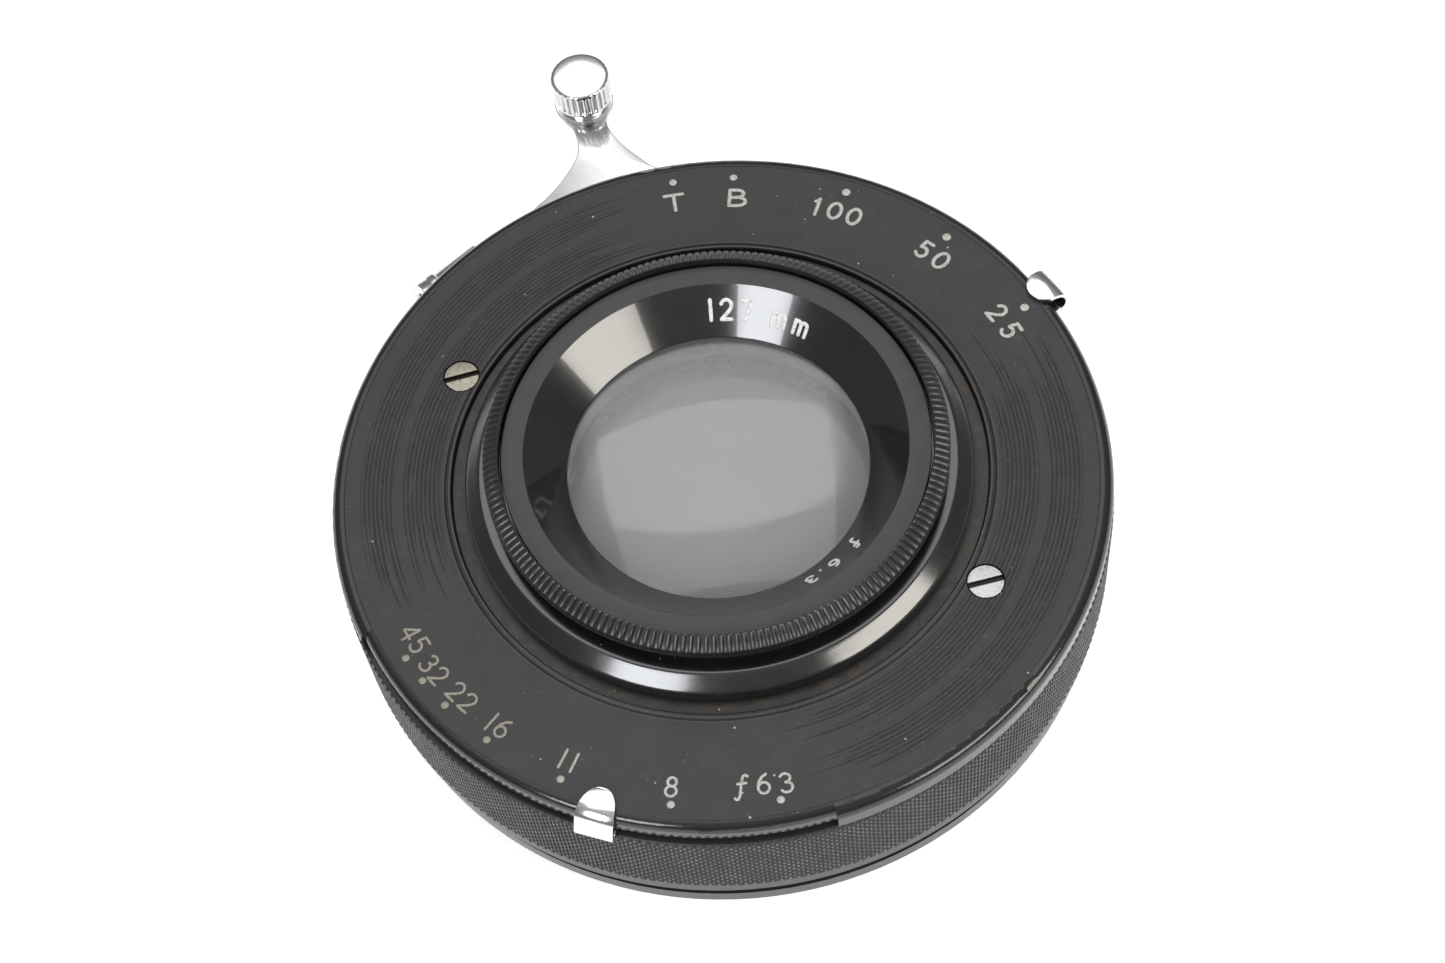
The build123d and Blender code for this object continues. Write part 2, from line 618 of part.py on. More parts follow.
# ===========================================================================
# IRIS
# ===========================================================================
with BuildPart() as iris_plate:
    with BuildSketch(Plane.XY.offset(4.7)):
        Circle(27.15)
        for a in POST_ANG:
            with Locations(pol(POST_R, a)):
                Circle(1.55, mode=Mode.SUBTRACT)
        with Locations(pol(GEAR_CD, GEAR_ANG)):
            Circle(0.55, mode=Mode.SUBTRACT)
    extrude(amount=0.6)
    with BuildSketch(Plane.XY.offset(3.9)):
        Circle(13.0)
    extrude(amount=0.9)
    with BuildSketch(Plane.XY.offset(3.0)):
        Circle(8.9)
    extrude(amount=4, mode=Mode.SUBTRACT)
    with BuildSketch(Plane.XY.offset(4.75)):
        with PolarLocations(LEAF_RP, LEAF_N):
            Circle(LEAF_PIN_R + 0.05)
    extrude(amount=1.0, mode=Mode.SUBTRACT)
    # stud that the selector turns on
    with BuildSketch(Plane.XY.offset(5.2)):
        with Locations(_pc):
            Circle(1.0)
    extrude(amount=5.0)
    with BuildSketch(Plane.XY.offset(10.1)):
        with Locations(_pc):
            Circle(0.6)
    extrude(amount=0.8)
iris_plate.part.label = "iris_plate"
export_step(iris_plate.part, "parts/iris_plate.step")

REST_LIFT = -LEAF_K * (AP_OPEN - AP_REST)      # leaf turn at rest, from full open
for i in range(LEAF_N):
    ang = 36.0 * i
    z = LEAF_Z0 + LEAF_PITCH * i
    with BuildPart() as leaf:
        pl = leaf_plane(LEAF_RP, ang, REST_LIFT, z)
        body, bridge = leaf_face(LEAF_RHO, LEAF_W, LEAF_RP, 150.0, 1.1, LEAF_TAIL, 1.7)
        with BuildSketch(pl):
            Polygon(*body, align=None)
            Polygon(*bridge, align=None)
            Circle(1.1)
            with Locations((0, LEAF_TAIL / 2)):
                Rectangle(1.6, LEAF_TAIL)
            with Locations((0, LEAF_TAIL)):
                Circle(0.8)
            with Locations((-LEAF_RP, 0)):
                Circle(LEAF_RHO, mode=Mode.SUBTRACT)
        extrude(amount=LEAF_T)
        with BuildSketch(pl.offset(-(z - 4.85))):
            Circle(LEAF_PIN_R)
        extrude(amount=z - 4.85 + 0.05)
        with BuildSketch(pl):
            with Locations((0, LEAF_TAIL)):
                Circle(LEAF_PIN_R)
        extrude(amount=7.65 - z)
    leaf.part.label = f"iris_leaf_{i + 1:02d}"
    export_step(leaf.part, f"parts/iris_leaf_{i + 1:02d}.step")

with BuildPart() as iris_ring:
    with BuildSketch(Plane.XY.offset(IRIS_RING_Z0)):
        Circle(19.5)
        Circle(13.2, mode=Mode.SUBTRACT)
        for i in range(LEAF_N):
            p = slot_path(LEAF_RP, LEAF_TAIL, 36.0 * i, REST_LIFT, LEAF_K, AP_MIN, AP_MAX, n=34)
            Polygon(*track(p, LEAF_PIN_R + 0.06), align=None, mode=Mode.SUBTRACT)
    extrude(amount=IRIS_RING_Z1 - IRIS_RING_Z0)
iris_ring.part.label = "iris_ring"
export_step(iris_ring.part, "parts/iris_ring.step")

with BuildPart() as iris_housing:
    with BuildSketch(Plane.XY.offset(5.3)):
        Circle(20.25)
        Circle(19.56, mode=Mode.SUBTRACT)
    extrude(amount=2.85)
    with BuildSketch(Plane.XY.offset(7.6)):
        Circle(22)
        Circle(18, mode=Mode.SUBTRACT)
        Polygon(*wedge(23, AP_REST + AP_MIN - 7, AP_REST + AP_MAX + 7), align=None, mode=Mode.INTERSECT)
    extrude(amount=1.0, mode=Mode.SUBTRACT)
iris_housing.part.label = "iris_housing"
export_step(iris_housing.part, "parts/iris_housing.step")

with BuildPart() as iris_cover:
    with BuildSketch(Plane.XY.offset(8.15)):
        Circle(20.25)
        Circle(13.2, mode=Mode.SUBTRACT)
    extrude(amount=0.4)
iris_cover.part.label = "iris_cover"
export_step(iris_cover.part, "parts/iris_cover.step")

with BuildPart() as iris_pointer:
    ppl = Plane(origin=(0, 0, 0), x_dir=(cos(radians(AP_REST)), sin(radians(AP_REST)), 0),
                z_dir=(sin(radians(AP_REST)), -cos(radians(AP_REST)), 0))
    with BuildSketch(ppl):
        Polygon((18.9, 7.7), (24.4, 7.7), (24.4, 11.6), (30.05, 11.6), (29.64, 13.03), (29.44, 13.43),
                (29.06, 13.81), (28.57, 14.0), (27.0, 14.0), (27.0, 13.66), (28.47, 13.66), (28.87, 13.52),
                (29.15, 13.25), (29.31, 12.92), (29.68, 11.95), (24.05, 11.95), (24.05, 8.05),
                (18.9, 8.05), align=None)
    extrude(amount=1.45, both=True)
    with BuildSketch(Plane(origin=(0, 0, 13.0), x_dir=(cos(radians(AP_REST)), sin(radians(AP_REST)), 0),
                           z_dir=(0, 0, 1))):
        with BuildLine():
            Polyline((26.5, 2.0), (26.5, -2.0), (28.9, -2.0), (28.9, -1.45), (28.2, -1.36), (27.5, -0.95),
                     (27.1, -0.5), (27.0, 0.0), (27.1, 0.5), (27.5, 0.95), (28.2, 1.36), (28.9, 1.45),
                     (28.9, 2.0), (26.5, 2.0))
        make_face()
    extrude(amount=1.5, mode=Mode.SUBTRACT)
iris_pointer.part.label = "iris_pointer"
export_step(iris_pointer.part, "parts/iris_pointer.step")

# ===========================================================================
# FRONT CELL
# ===========================================================================
with BuildPart() as front_barrel:
    with BuildSketch(Plane.XZ):
        with BuildLine():
            Polyline((11.0, 8.9), (14.0, 8.9), (14.0, RECESS_Z + 0.03), (FLANGE_R, RECESS_Z + 0.03), (FLANGE_R, 14.41),
                     (17.87, 15.37), (16.55, 15.42), (16.45, 15.5))
            Polyline((16.45, 15.5), (16.45, 16.3), (RIM_R, 16.6), (RIM_R, 17.5), (RIM_RI, RIM_Z),
                     (RIM_RI, 16.3), (14.65, 16.3), (14.65, 13.9), (12.3, 13.9), (12.3, 9.55), (11.0, 9.55),
                     (11.0, 8.9))
        make_face()
    revolve(axis=Axis.Z)
front_barrel.part.label = "front_barrel"
export_step(front_barrel.part, "parts/front_barrel.step")

with BuildPart() as name_ring:
    with BuildSketch(Plane.XZ):
        with BuildLine():
            Polyline((11.3, 14.36), (14.3, 17.34), (15.95, 17.34), (15.95, 16.35), (14.6, 16.35), (14.6, 13.95),
                     (12.35, 13.95), (12.2, 14.06), (11.3, 14.36))
        make_face()
    revolve(axis=Axis.Z)
name_ring.part.label = "name_ring"
export_step(name_ring.part, "parts/name_ring.step")


def sag(r, radius):
    """Depth of a spherical cap of the given radius at distance r from the axis."""
    return radius - sqrt(radius * radius - r * r)


def lens_arc(r, z0, radius, sign):
    """Three points of a surface in the XZ half plane: vertex at z0, edge at r, falling by sign * sag."""
    return (0, z0), (r / 2, z0 + sign * sag(r / 2, radius)), (r, z0 + sign * sag(r, radius))


G1, Z1 = 36.0, 16.15
with BuildPart() as front_element:
    with BuildSketch(Plane.XZ):
        with BuildLine():
            p0, p1, p2 = lens_arc(12.25, Z1, G1, -1)
            q0, q1, q2 = lens_arc(12.25, 12.1, 150, 1)
            ThreePointArc(p0, p1, p2)
            Line(p2, q2)
            ThreePointArc(q2, q1, q0)
            Line(q0, p0)
        make_face()
    revolve(axis=Axis.Z)
front_element.part.label = "front_element"
export_step(front_element.part, "parts/front_element.step")

with BuildPart() as second_element:
    with BuildSketch(Plane.XZ):
        with BuildLine():
            p0, p1, p2 = lens_arc(11.5, 11.45, 100, 1)
            q0, q1, q2 = lens_arc(10.9, 10.35, 90, -1)
            ThreePointArc(p0, p1, p2)
            Polyline(p2, (12.25, p2[1]), (12.25, 9.58), (10.9, 9.58), q2)
            ThreePointArc(q2, q1, q0)
            Line(q0, p0)
        make_face()
    revolve(axis=Axis.Z)
second_element.part.label = "second_element"
export_step(second_element.part, "parts/second_element.step")

with BuildPart() as front_spacer:
    with BuildSketch(Plane.XY.offset(12.14)):
        Circle(12.25)
        Circle(11.3, mode=Mode.SUBTRACT)
    extrude(amount=0.36)
front_spacer.part.label = "front_spacer"
export_step(front_spacer.part, "parts/front_spacer.step")

# ===========================================================================
# REAR CELL
# ===========================================================================
with BuildPart() as rear_barrel:
    with BuildSketch(Plane.XZ):
        with BuildLine():
            Polyline((9.4, 2.3), (14.85, 2.3), (14.85, -6.6), (15.9, -6.6), (16.0, -7.0), (16.0, -10.2),
                     (15.7, -10.5), (12.1, -10.5), (12.1, -8.6), (11.3, -8.6), (11.3, -1.2), (10.3, -1.2),
                     (9.4, 0.4), (9.4, 2.3))
        make_face()
    revolve(axis=Axis.Z)
rear_barrel.part.label = "rear_barrel"
export_step(rear_barrel.part, "parts/rear_barrel.step")

with BuildPart() as rear_element_a:
    with BuildSketch(Plane.XZ):
        with BuildLine():
            p0, p1, p2 = lens_arc(10.2, -2.0, 80, 1)
            q0, q1, q2 = lens_arc(11.25, -3.4, 28, -1)
            ThreePointArc(p0, p1, p2)
            Polyline(p2, (11.25, p2[1]), q2)
            ThreePointArc(q2, q1, q0)
            Line(q0, p0)
        make_face()
    revolve(axis=Axis.Z)
rear_element_a.part.label = "rear_element_a"
export_step(rear_element_a.part, "parts/rear_element_a.step")

with BuildPart() as rear_element_b:
    with BuildSketch(Plane.XZ):
        with BuildLine():
            p0, p1, p2 = lens_arc(11.25, -3.42, 28, -1)
            q0, q1, q2 = lens_arc(11.25, -8.6, 48, 1)
            ThreePointArc(p0, p1, p2)
            Line(p2, q2)
            ThreePointArc(q2, q1, q0)
            Line(q0, p0)
        make_face()
    revolve(axis=Axis.Z)
rear_element_b.part.label = "rear_element_b"
export_step(rear_element_b.part, "parts/rear_element_b.step")

with BuildPart() as rear_retaining_ring:
    with BuildSketch(Plane.XZ):
        with BuildLine():
            Polyline((10.9, -7.45), (11.25, -7.35), (11.25, -8.65), (12.05, -8.65), (12.05, -9.6), (10.9, -9.6),
                     (10.9, -7.45))
        make_face()
    revolve(axis=Axis.Z)
    with BuildSketch(Plane.XY.offset(-9.6)):
        Rectangle(26, 1.2)
        Circle(10.0, mode=Mode.SUBTRACT)
    extrude(amount=0.7, mode=Mode.SUBTRACT)
rear_retaining_ring.part.label = "rear_retaining_ring"
export_step(rear_retaining_ring.part, "parts/rear_retaining_ring.step")

print("blade open", BLADE_OPEN, "ratio", BLADE_K, "leaf ratio", LEAF_K, "selector ratio", SEL_K)
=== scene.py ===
import random
from math import sin, cos, tan, radians, degrees, pi, sqrt, hypot, atan2, asin

import bpy
from mathutils import Matrix, Vector


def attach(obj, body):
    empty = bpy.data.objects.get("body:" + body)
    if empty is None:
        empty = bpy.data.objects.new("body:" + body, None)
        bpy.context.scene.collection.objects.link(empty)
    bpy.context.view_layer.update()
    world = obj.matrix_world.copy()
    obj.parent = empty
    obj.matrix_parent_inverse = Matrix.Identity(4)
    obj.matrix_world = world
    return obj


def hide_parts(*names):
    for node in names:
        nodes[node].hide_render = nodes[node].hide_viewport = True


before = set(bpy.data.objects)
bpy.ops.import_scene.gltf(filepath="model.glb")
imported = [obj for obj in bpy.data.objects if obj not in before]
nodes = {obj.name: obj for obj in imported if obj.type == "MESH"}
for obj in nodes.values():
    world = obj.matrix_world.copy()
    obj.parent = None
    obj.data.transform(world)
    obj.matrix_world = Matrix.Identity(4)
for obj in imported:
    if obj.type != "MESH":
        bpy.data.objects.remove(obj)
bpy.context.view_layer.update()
MM = 0.001
FACE_Z = 13.6


# ---------------------------------------------------------------------------
# small geometry kit (all numbers in millimetres in the row frame)
# ---------------------------------------------------------------------------
def pol(r, a):
    return (r * cos(radians(a)), r * sin(radians(a)))


def make(name, verts, faces, body, slot, replaces=(), smooth=32.0, mat=None):
    """A mesh piece from millimetre points, riding on a CAD body."""
    me = bpy.data.meshes.new(name)
    me.from_pydata([(x * MM, y * MM, z * MM) for x, y, z in verts], [], faces)
    me.validate()
    me.update()
    if smooth:
        me.shade_smooth()
        if smooth < 179:
            me.set_sharp_from_angle(angle=radians(smooth))
    ob = bpy.data.objects.new(name, me)
    bpy.context.scene.collection.objects.link(ob)
    if mat is not None:
        me.materials.append(mat)
    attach(ob, body)
    if replaces:
        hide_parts(*replaces)
    return ob


def fillet(pts, radii, seg=5):
    """Closed outline with some of its corners rounded. radii: corner index -> radius."""
    out = []
    n = len(pts)
    for i, p in enumerate(pts):
        rad = radii.get(i, 0)
        if not rad:
            out.append(p)
            continue
        a, b = pts[i - 1], pts[(i + 1) % n]
        v1 = (a[0] - p[0], a[1] - p[1])
        v2 = (b[0] - p[0], b[1] - p[1])
        l1, l2 = hypot(*v1), hypot(*v2)
        v1 = (v1[0] / l1, v1[1] / l1)
        v2 = (v2[0] / l2, v2[1] / l2)
        c = max(-1, min(1, v1[0] * v2[0] + v1[1] * v2[1]))
        ang = atan2(sqrt(max(0, 1 - c * c)), c)
        d = min(rad / tan(ang / 2), l1 * 0.49, l2 * 0.49)
        rr = d * tan(ang / 2)
        t1 = (p[0] + v1[0] * d, p[1] + v1[1] * d)
        t2 = (p[0] + v2[0] * d, p[1] + v2[1] * d)
        bis = (v1[0] + v2[0], v1[1] + v2[1])
        bl = hypot(*bis)
        if bl < 1e-9:
            out.append(p)
            continue
        h = rr / sin(ang / 2)
        cc = (p[0] + bis[0] / bl * h, p[1] + bis[1] / bl * h)
        a1 = atan2(t1[1] - cc[1], t1[0] - cc[0])
        a2 = atan2(t2[1] - cc[1], t2[0] - cc[0])
        da = (a2 - a1 + pi) % (2 * pi) - pi
        for k in range(seg + 1):
            t = a1 + da * k / seg
            out.append((cc[0] + rr * cos(t), cc[1] + rr * sin(t)))
    return out


def lathe_mesh(prof, n=240, centre=(0.0, 0.0)):
    """Closed surface of revolution about a Z line through centre. prof: closed (r, z) outline; r may be 0 at its ends."""
    verts, faces, rings = [], [], []
    for r, z in prof:
        if r < 1e-6:
            rings.append([len(verts)])
            verts.append((centre[0], centre[1], z))
        else:
            rings.append(list(range(len(verts), len(verts) + n)))
            for k in range(n):
                a = 2 * pi * k / n
                verts.append((centre[0] + r * cos(a), centre[1] + r * sin(a), z))
    m = len(prof)
    for i in range(m):
        A, B = rings[i], rings[(i + 1) % m]
        if len(A) == 1 and len(B) == 1:
            continue
        for k in range(n):
            k2 = (k + 1) % n
            if len(A) == 1:
                faces.append((A[0], B[k2], B[k]))
            elif len(B) == 1:
                faces.append((A[k], A[k2], B[0]))
            else:
                faces.append((A[k], A[k2], B[k2], B[k]))
    return verts, faces


def outward(verts, faces):
    """Turns all faces the other way if the closed mesh is inside out."""
    vol = 0.0
    for f in faces:
        a = verts[f[0]]
        for i in range(1, len(f) - 1):
            b, c = verts[f[i]], verts[f[i + 1]]
            vol += (a[0] * (b[1] * c[2] - b[2] * c[1]) - a[1] * (b[0] * c[2] - b[2] * c[0])
                    + a[2] * (b[0] * c[1] - b[1] * c[0]))
    return faces if vol > 0 else [tuple(reversed(f)) for f in faces]


def lathe(name, prof, body, slot, mat, replaces=(), n=240, smooth=32.0, centre=(0.0, 0.0)):
    v, f = lathe_mesh(prof, n, centre)
    return make(name, v, outward(v, f), body, slot, replaces, smooth, mat)


def sheet_plate(name, outlines, z0, z1, bevel, res=3):
    """Flat plate with rounded edges from closed 2-D outlines (the first is the outside, the rest are holes)."""
    cu = bpy.data.curves.new(name, "CURVE")
    cu.dimensions = "2D"
    cu.fill_mode = "BOTH"
    for pts in outlines:
        sp = cu.splines.new("POLY")
        sp.points.add(len(pts) - 1)
        for i, (x, y) in enumerate(pts):
            sp.points[i].co = (x, y, 0, 1)
        sp.use_cyclic_u = True
    cu.extrude = (z1 - z0) / 2 - bevel
    cu.bevel_depth = bevel
    cu.bevel_resolution = res
    cu.offset = -bevel
    ob = bpy.data.objects.new(name, cu)
    bpy.context.scene.collection.objects.link(ob)
    bpy.context.view_layer.update()
    me = bpy.data.meshes.new_from_object(ob.evaluated_get(bpy.context.evaluated_depsgraph_get()))
    bpy.data.objects.remove(ob)
    verts = [(v.co.x, v.co.y, v.co.z + (z0 + z1) / 2) for v in me.vertices]
    faces = [tuple(p.vertices) for p in me.polygons]
    bpy.data.meshes.remove(me)
    return verts, faces


def merge(*parts):
    verts, faces = [], []
    for v, f in parts:
        k = len(verts)
        verts += v
        faces += [tuple(i + k for i in q) for q in f]
    return verts, faces


def weld(verts, faces, d=1e-4):
    """Joins points closer than d."""
    key, index, out = {}, [], []
    for x, y, z in verts:
        k = (round(x / d), round(y / d), round(z / d))
        if k not in key:
            key[k] = len(out)
            out.append((x, y, z))
        index.append(key[k])
    fs = []
    for f in faces:
        g = []
        for i in f:
            j = index[i]
            if not g or g[-1] != j:
                g.append(j)
        if len(g) > 1 and g[0] == g[-1]:
            g.pop()
        if len(g) > 2:
            fs.append(tuple(g))
    return out, fs


# ---------------------------------------------------------------------------
# materials
# ---------------------------------------------------------------------------
class Mat:
    def __init__(self, name, **sockets):
        self.m = bpy.data.materials.new(name)
        self.m.use_nodes = True
        self.nt = self.m.node_tree
        self.nt.nodes.clear()
        self.out = self.node("ShaderNodeOutputMaterial")
        self.bsdf = self.node("ShaderNodeBsdfPrincipled")
        self.nt.links.new(self.bsdf.outputs[0], self.out.inputs["Surface"])
        for k, v in sockets.items():
            self.bsdf.inputs[k.replace("_", " ")].default_value = v
        tc = self.node("ShaderNodeTexCoord")
        sc = self.node("ShaderNodeVectorMath")
        sc.operation = "SCALE"
        sc.inputs["Scale"].default_value = 1000.0
        self.nt.links.new(tc.outputs["Object"], sc.inputs[0])
        self.mm = sc.outputs[0]
        sep = self.node("ShaderNodeSeparateXYZ")
        self.nt.links.new(self.mm, sep.inputs[0])
        self.x, self.y, self.z = sep.outputs
        self._r = self._a = None

    def node(self, kind):
        return self.nt.nodes.new(kind)

    def put(self, sock, value):
        if isinstance(value, bpy.types.NodeSocket):
            self.nt.links.new(value, sock)
        else:
            sock.default_value = value

    def math(self, op, a, b=0.0, clamp=False):
        n = self.node("ShaderNodeMath")
        n.operation = op
        n.use_clamp = clamp
        self.put(n.inputs[0], a)
        self.put(n.inputs[1], b)
        return n.outputs[0]

    @property
    def r(self):
        if self._r is None:
            self._r = self.math("SQRT", self.math("ADD", self.math("MULTIPLY", self.x, self.x),
                                                  self.math("MULTIPLY", self.y, self.y)))
        return self._r

    @property
    def a(self):
        """Direction about the axis in degrees, -180 to 180."""
        if self._a is None:
            self._a = self.math("MULTIPLY", self.math("ARCTAN2", self.y, self.x), 57.29578)
        return self._a

    def vec(self, x, y, z):
        n = self.node("ShaderNodeCombineXYZ")
        for s, v in zip(n.inputs, (x, y, z)):
            self.put(s, v)
        return n.outputs[0]

    def noise(self, scale, detail=3.0, rough=0.55, vec=None, distort=0.0):
        n = self.node("ShaderNodeTexNoise")
        n.inputs["Scale"].default_value = scale
        n.inputs["Detail"].default_value = detail
        n.inputs["Roughness"].default_value = rough
        n.inputs["Distortion"].default_value = distort
        self.nt.links.new(self.mm if vec is None else vec, n.inputs["Vector"])
        return n.outputs[0]

    def voronoi(self, scale, vec=None, out="Distance"):
        n = self.node("ShaderNodeTexVoronoi")
        n.inputs["Scale"].default_value = scale
        self.nt.links.new(self.mm if vec is None else vec, n.inputs["Vector"])
        return n.outputs[out]

    def ramp(self, fac, *stops):
        n = self.node("ShaderNodeValToRGB")
        self.put(n.inputs[0], fac)
        el = n.color_ramp.elements
        while len(el) > 1:
            el.remove(el[-1])
        for i, (p, c) in enumerate(stops):
            e = el[0] if i == 0 else el.new(p)
            e.position = p
            e.color = (c, c, c, 1) if isinstance(c, (int, float)) else (*c, 1)
        return n.outputs[0]

    def mix(self, fac, a, b):
        n = self.node("ShaderNodeMix")
        n.data_type = "RGBA"
        n.clamp_factor = True
        self.put(n.inputs["Factor"], fac)
        for s, v in ((n.inputs[6], a), (n.inputs[7], b)):
            self.put(s, v if isinstance(v, bpy.types.NodeSocket) else (*v, 1.0))
        return n.outputs[2]

    def step(self, value, lo, hi):
        """0 below lo, 1 above hi, smooth between; lo > hi turns it round."""
        n = self.node("ShaderNodeMapRange")
        n.interpolation_type = "SMOOTHSTEP"
        self.put(n.inputs["Value"], value)
        n.inputs["From Min"].default_value = min(lo, hi)
        n.inputs["From Max"].default_value = max(lo, hi)
        n.inputs["To Min"].default_value = 0.0 if lo < hi else 1.0
        n.inputs["To Max"].default_value = 1.0 if lo < hi else 0.0
        return n.outputs["Result"]

    def times(self, *fs):
        out = fs[0]
        for f in fs[1:]:
            out = self.math("MULTIPLY", out, f)
        return out

    def color(self, c):
        self.put(self.bsdf.inputs["Base Color"], c if isinstance(c, bpy.types.NodeSocket) else (*c, 1.0))

    def rough(self, v):
        self.put(self.bsdf.inputs["Roughness"], v)

    def bump(self, height, distance_mm, strength=1.0):
        n = self.node("ShaderNodeBump")
        n.inputs["Strength"].default_value = strength
        n.inputs["Distance"].default_value = distance_mm * MM
        self.nt.links.new(height, n.inputs["Height"])
        self.nt.links.new(n.outputs[0], self.bsdf.inputs["Normal"])

    def lin(self, fac, a, b):
        """a + (b - a) * fac for plain numbers."""
        return self.math("ADD", self.math("MULTIPLY", fac, b - a), a)


def specks(m, scale, size, share):
    """Small dust dots: 1 on a dot. scale: cells per mm, size in cells, share of the cells that have one."""
    n = m.node("ShaderNodeTexVoronoi")
    n.inputs["Scale"].default_value = scale
    m.nt.links.new(m.mm, n.inputs["Vector"])
    sep = m.node("ShaderNodeSeparateColor")
    m.nt.links.new(n.outputs["Color"], sep.inputs[0])
    pick = m.math("LESS_THAN", sep.outputs[0], share)
    grow = m.math("ADD", m.math("MULTIPLY", sep.outputs[1], size * 0.8), size * 0.35)
    dot = m.math("LESS_THAN", n.outputs["Distance"], grow)
    return m.math("MULTIPLY", pick, dot)


def mat_face():
    """Satin black enamel with broken turned lines at both sides."""
    m = Mat("enamel_face", Specular_IOR_Level=0.5)
    big = m.noise(0.11, 3)
    col = m.mix(big, (0.0112, 0.0104, 0.0110), (0.0185, 0.0172, 0.0176))
    mot = m.noise(0.9, 4, 0.65)
    col = m.mix(m.step(mot, 0.55, 0.75), col, (0.025, 0.0232, 0.0228))
    mot2 = m.noise(3.2, 4, 0.7)
    col = m.mix(m.math("MULTIPLY", m.step(mot2, 0.52, 0.70), 0.5), col, (0.029, 0.0262, 0.0255))
    # broken concentric lines: two bands of lines either side, ragged at their ends
    ragged = m.noise(1.0, 2, 0.6, m.vec(m.math("MULTIPLY", m.r, 3.2), m.math("MULTIPLY", m.a, 0.012), 3.0))
    wob = m.math("MULTIPLY", m.math("SUBTRACT", ragged, 0.5), 58.0)
    side = m.math("ABSOLUTE", m.math("SUBTRACT", m.math("ABSOLUTE", m.math("SUBTRACT", m.a, 1.5)), 90.0))
    sector = m.step(m.math("ADD", side, wob), 44.0, 52.0)
    lines = m.noise(1.0, 3, 0.62, m.vec(m.math("MULTIPLY", m.r, 6.4), m.math("MULTIPLY", m.a, 0.10), 0.0))
    fine = m.math("ADD", m.math("MULTIPLY", m.math("SINE", m.math("MULTIPLY", m.r, 2 * pi / 0.33)), 0.5), 0.5)
    band_in = m.times(m.step(m.r, 21.0, 21.4), m.step(m.r, 24.1, 23.7))
    band_out = m.times(m.step(m.r, 24.4, 24.8), m.step(m.r, 27.3, 26.9))
    band = m.math("ADD", band_in, band_out)
    chip = m.lin(m.noise(1.0, 3, 0.7, m.vec(m.math("MULTIPLY", m.r, 3.0), m.math("MULTIPLY", m.a, 0.9), 7.0)), 0.45, 1.25)
    cut = m.times(m.step(m.math("ADD", m.math("MULTIPLY", lines, 0.70), m.math("MULTIPLY", fine, 0.30)), 0.47, 0.60),
                  sector, band, chip)
    col = m.mix(m.math("MULTIPLY", cut, 0.72), col, (0.004, 0.0038, 0.0038))
    # painted highlight: paler lines on the ridges left between the cuts, standing in for the light the turned ridges
    # catch
    ridge_highlight = m.times(m.step(fine, 0.30, 0.05), sector, band, m.step(m.noise(2.2, 3, 0.7), 0.5, 0.66))
    col = m.mix(m.math("MULTIPLY", ridge_highlight, 0.35), col, (0.045, 0.043, 0.042))
    # painted shade: near black in the recess round the barrel, where the flange shades it; a brownish film of dirt on
    # the recess floor
    col = m.mix(m.math("MULTIPLY", m.step(m.r, 20.35, 20.1), 0.92), col, (0.0035, 0.003, 0.003))
    film = m.times(m.step(m.r, 20.22, 20.05), m.step(m.r, 19.1, 19.5), m.step(m.noise(1.3, 5, 0.7), 0.38, 0.62))
    col = m.mix(m.math("MULTIPLY", film, 0.9), col, (0.034, 0.023, 0.014))
    # painted shade: the face darkened in patches close round the barrel, standing in for its shade and its dark
    # reflection
    barrel_shade = m.times(m.step(m.r, 22.6, 20.5), m.step(m.noise(0.35, 3), 0.35, 0.65))
    col = m.mix(m.math("MULTIPLY", barrel_shade, 0.45), col, (0.006, 0.0058, 0.0065))
    rust = m.times(cut, m.step(m.noise(0.8, 2), 0.58, 0.7))
    col = m.mix(m.math("MULTIPLY", rust, 0.35), col, (0.06, 0.035, 0.02))
    # worn outer corner
    edge = m.times(m.step(m.r, 28.24, 28.33), m.step(m.noise(2.2, 4), 0.45, 0.68))
    col = m.mix(m.math("MULTIPLY", edge, 0.4), col, (0.05, 0.049, 0.047))
    dust = specks(m, 0.70, 0.062, 0.38)
    dust2 = specks(m, 1.7, 0.085, 0.26)
    dust3 = specks(m, 3.1, 0.11, 0.14)
    col = m.mix(m.math("MULTIPLY", dust3, 0.30), col, (0.17, 0.165, 0.155))
    col = m.mix(m.math("MULTIPLY", dust2, 0.48), col, (0.26, 0.25, 0.235))
    col = m.mix(m.math("MULTIPLY", dust, 0.85), col, (0.42, 0.41, 0.39))
    d = m.math("MAXIMUM", dust, dust2)
    m.color(col)
    rough = m.lin(m.noise(0.5, 3), 0.36, 0.50)
    rough = m.math("ADD", rough, m.math("MULTIPLY", cut, 0.16))
    bead = m.times(m.step(m.r, 20.2, 20.35), m.step(m.r, 20.95, 20.75))
    rough = m.math("SUBTRACT", rough, m.math("MULTIPLY", bead, 0.22))
    m.rough(rough)
    h = m.math("ADD", m.math("MULTIPLY", m.noise(9.0, 2), 0.35), m.math("MULTIPLY", cut, -1.0))
    h = m.math("ADD", h, m.math("MULTIPLY", m.noise(0.8, 2), 0.5))
    h = m.math("ADD", h, m.math("MULTIPLY", d, 0.8))
    m.bump(h, 0.02)
    return m.m


def mat_enamel(name="enamel_satin", lo=0.24, hi=0.36, base=(0.018, 0.018, 0.019)):
    m = Mat(name, Specular_IOR_Level=0.55)
    col = m.mix(m.noise(0.3, 4), base, tuple(min(1, c * 1.7) for c in base))
    wear = m.step(m.noise(1.6, 5, 0.7), 0.66, 0.74)
    col = m.mix(m.math("MULTIPLY", wear, 0.4), col, (0.10, 0.098, 0.095))
    dust = specks(m, 0.9, 0.06, 0.25)
    col = m.mix(m.math("MULTIPLY", dust, 0.7), col, (0.32, 0.31, 0.30))
    m.color(col)
    m.rough(m.lin(m.noise(0.7, 3), lo, hi))
    m.bump(m.noise(6.0, 3), 0.008)
    return m.m


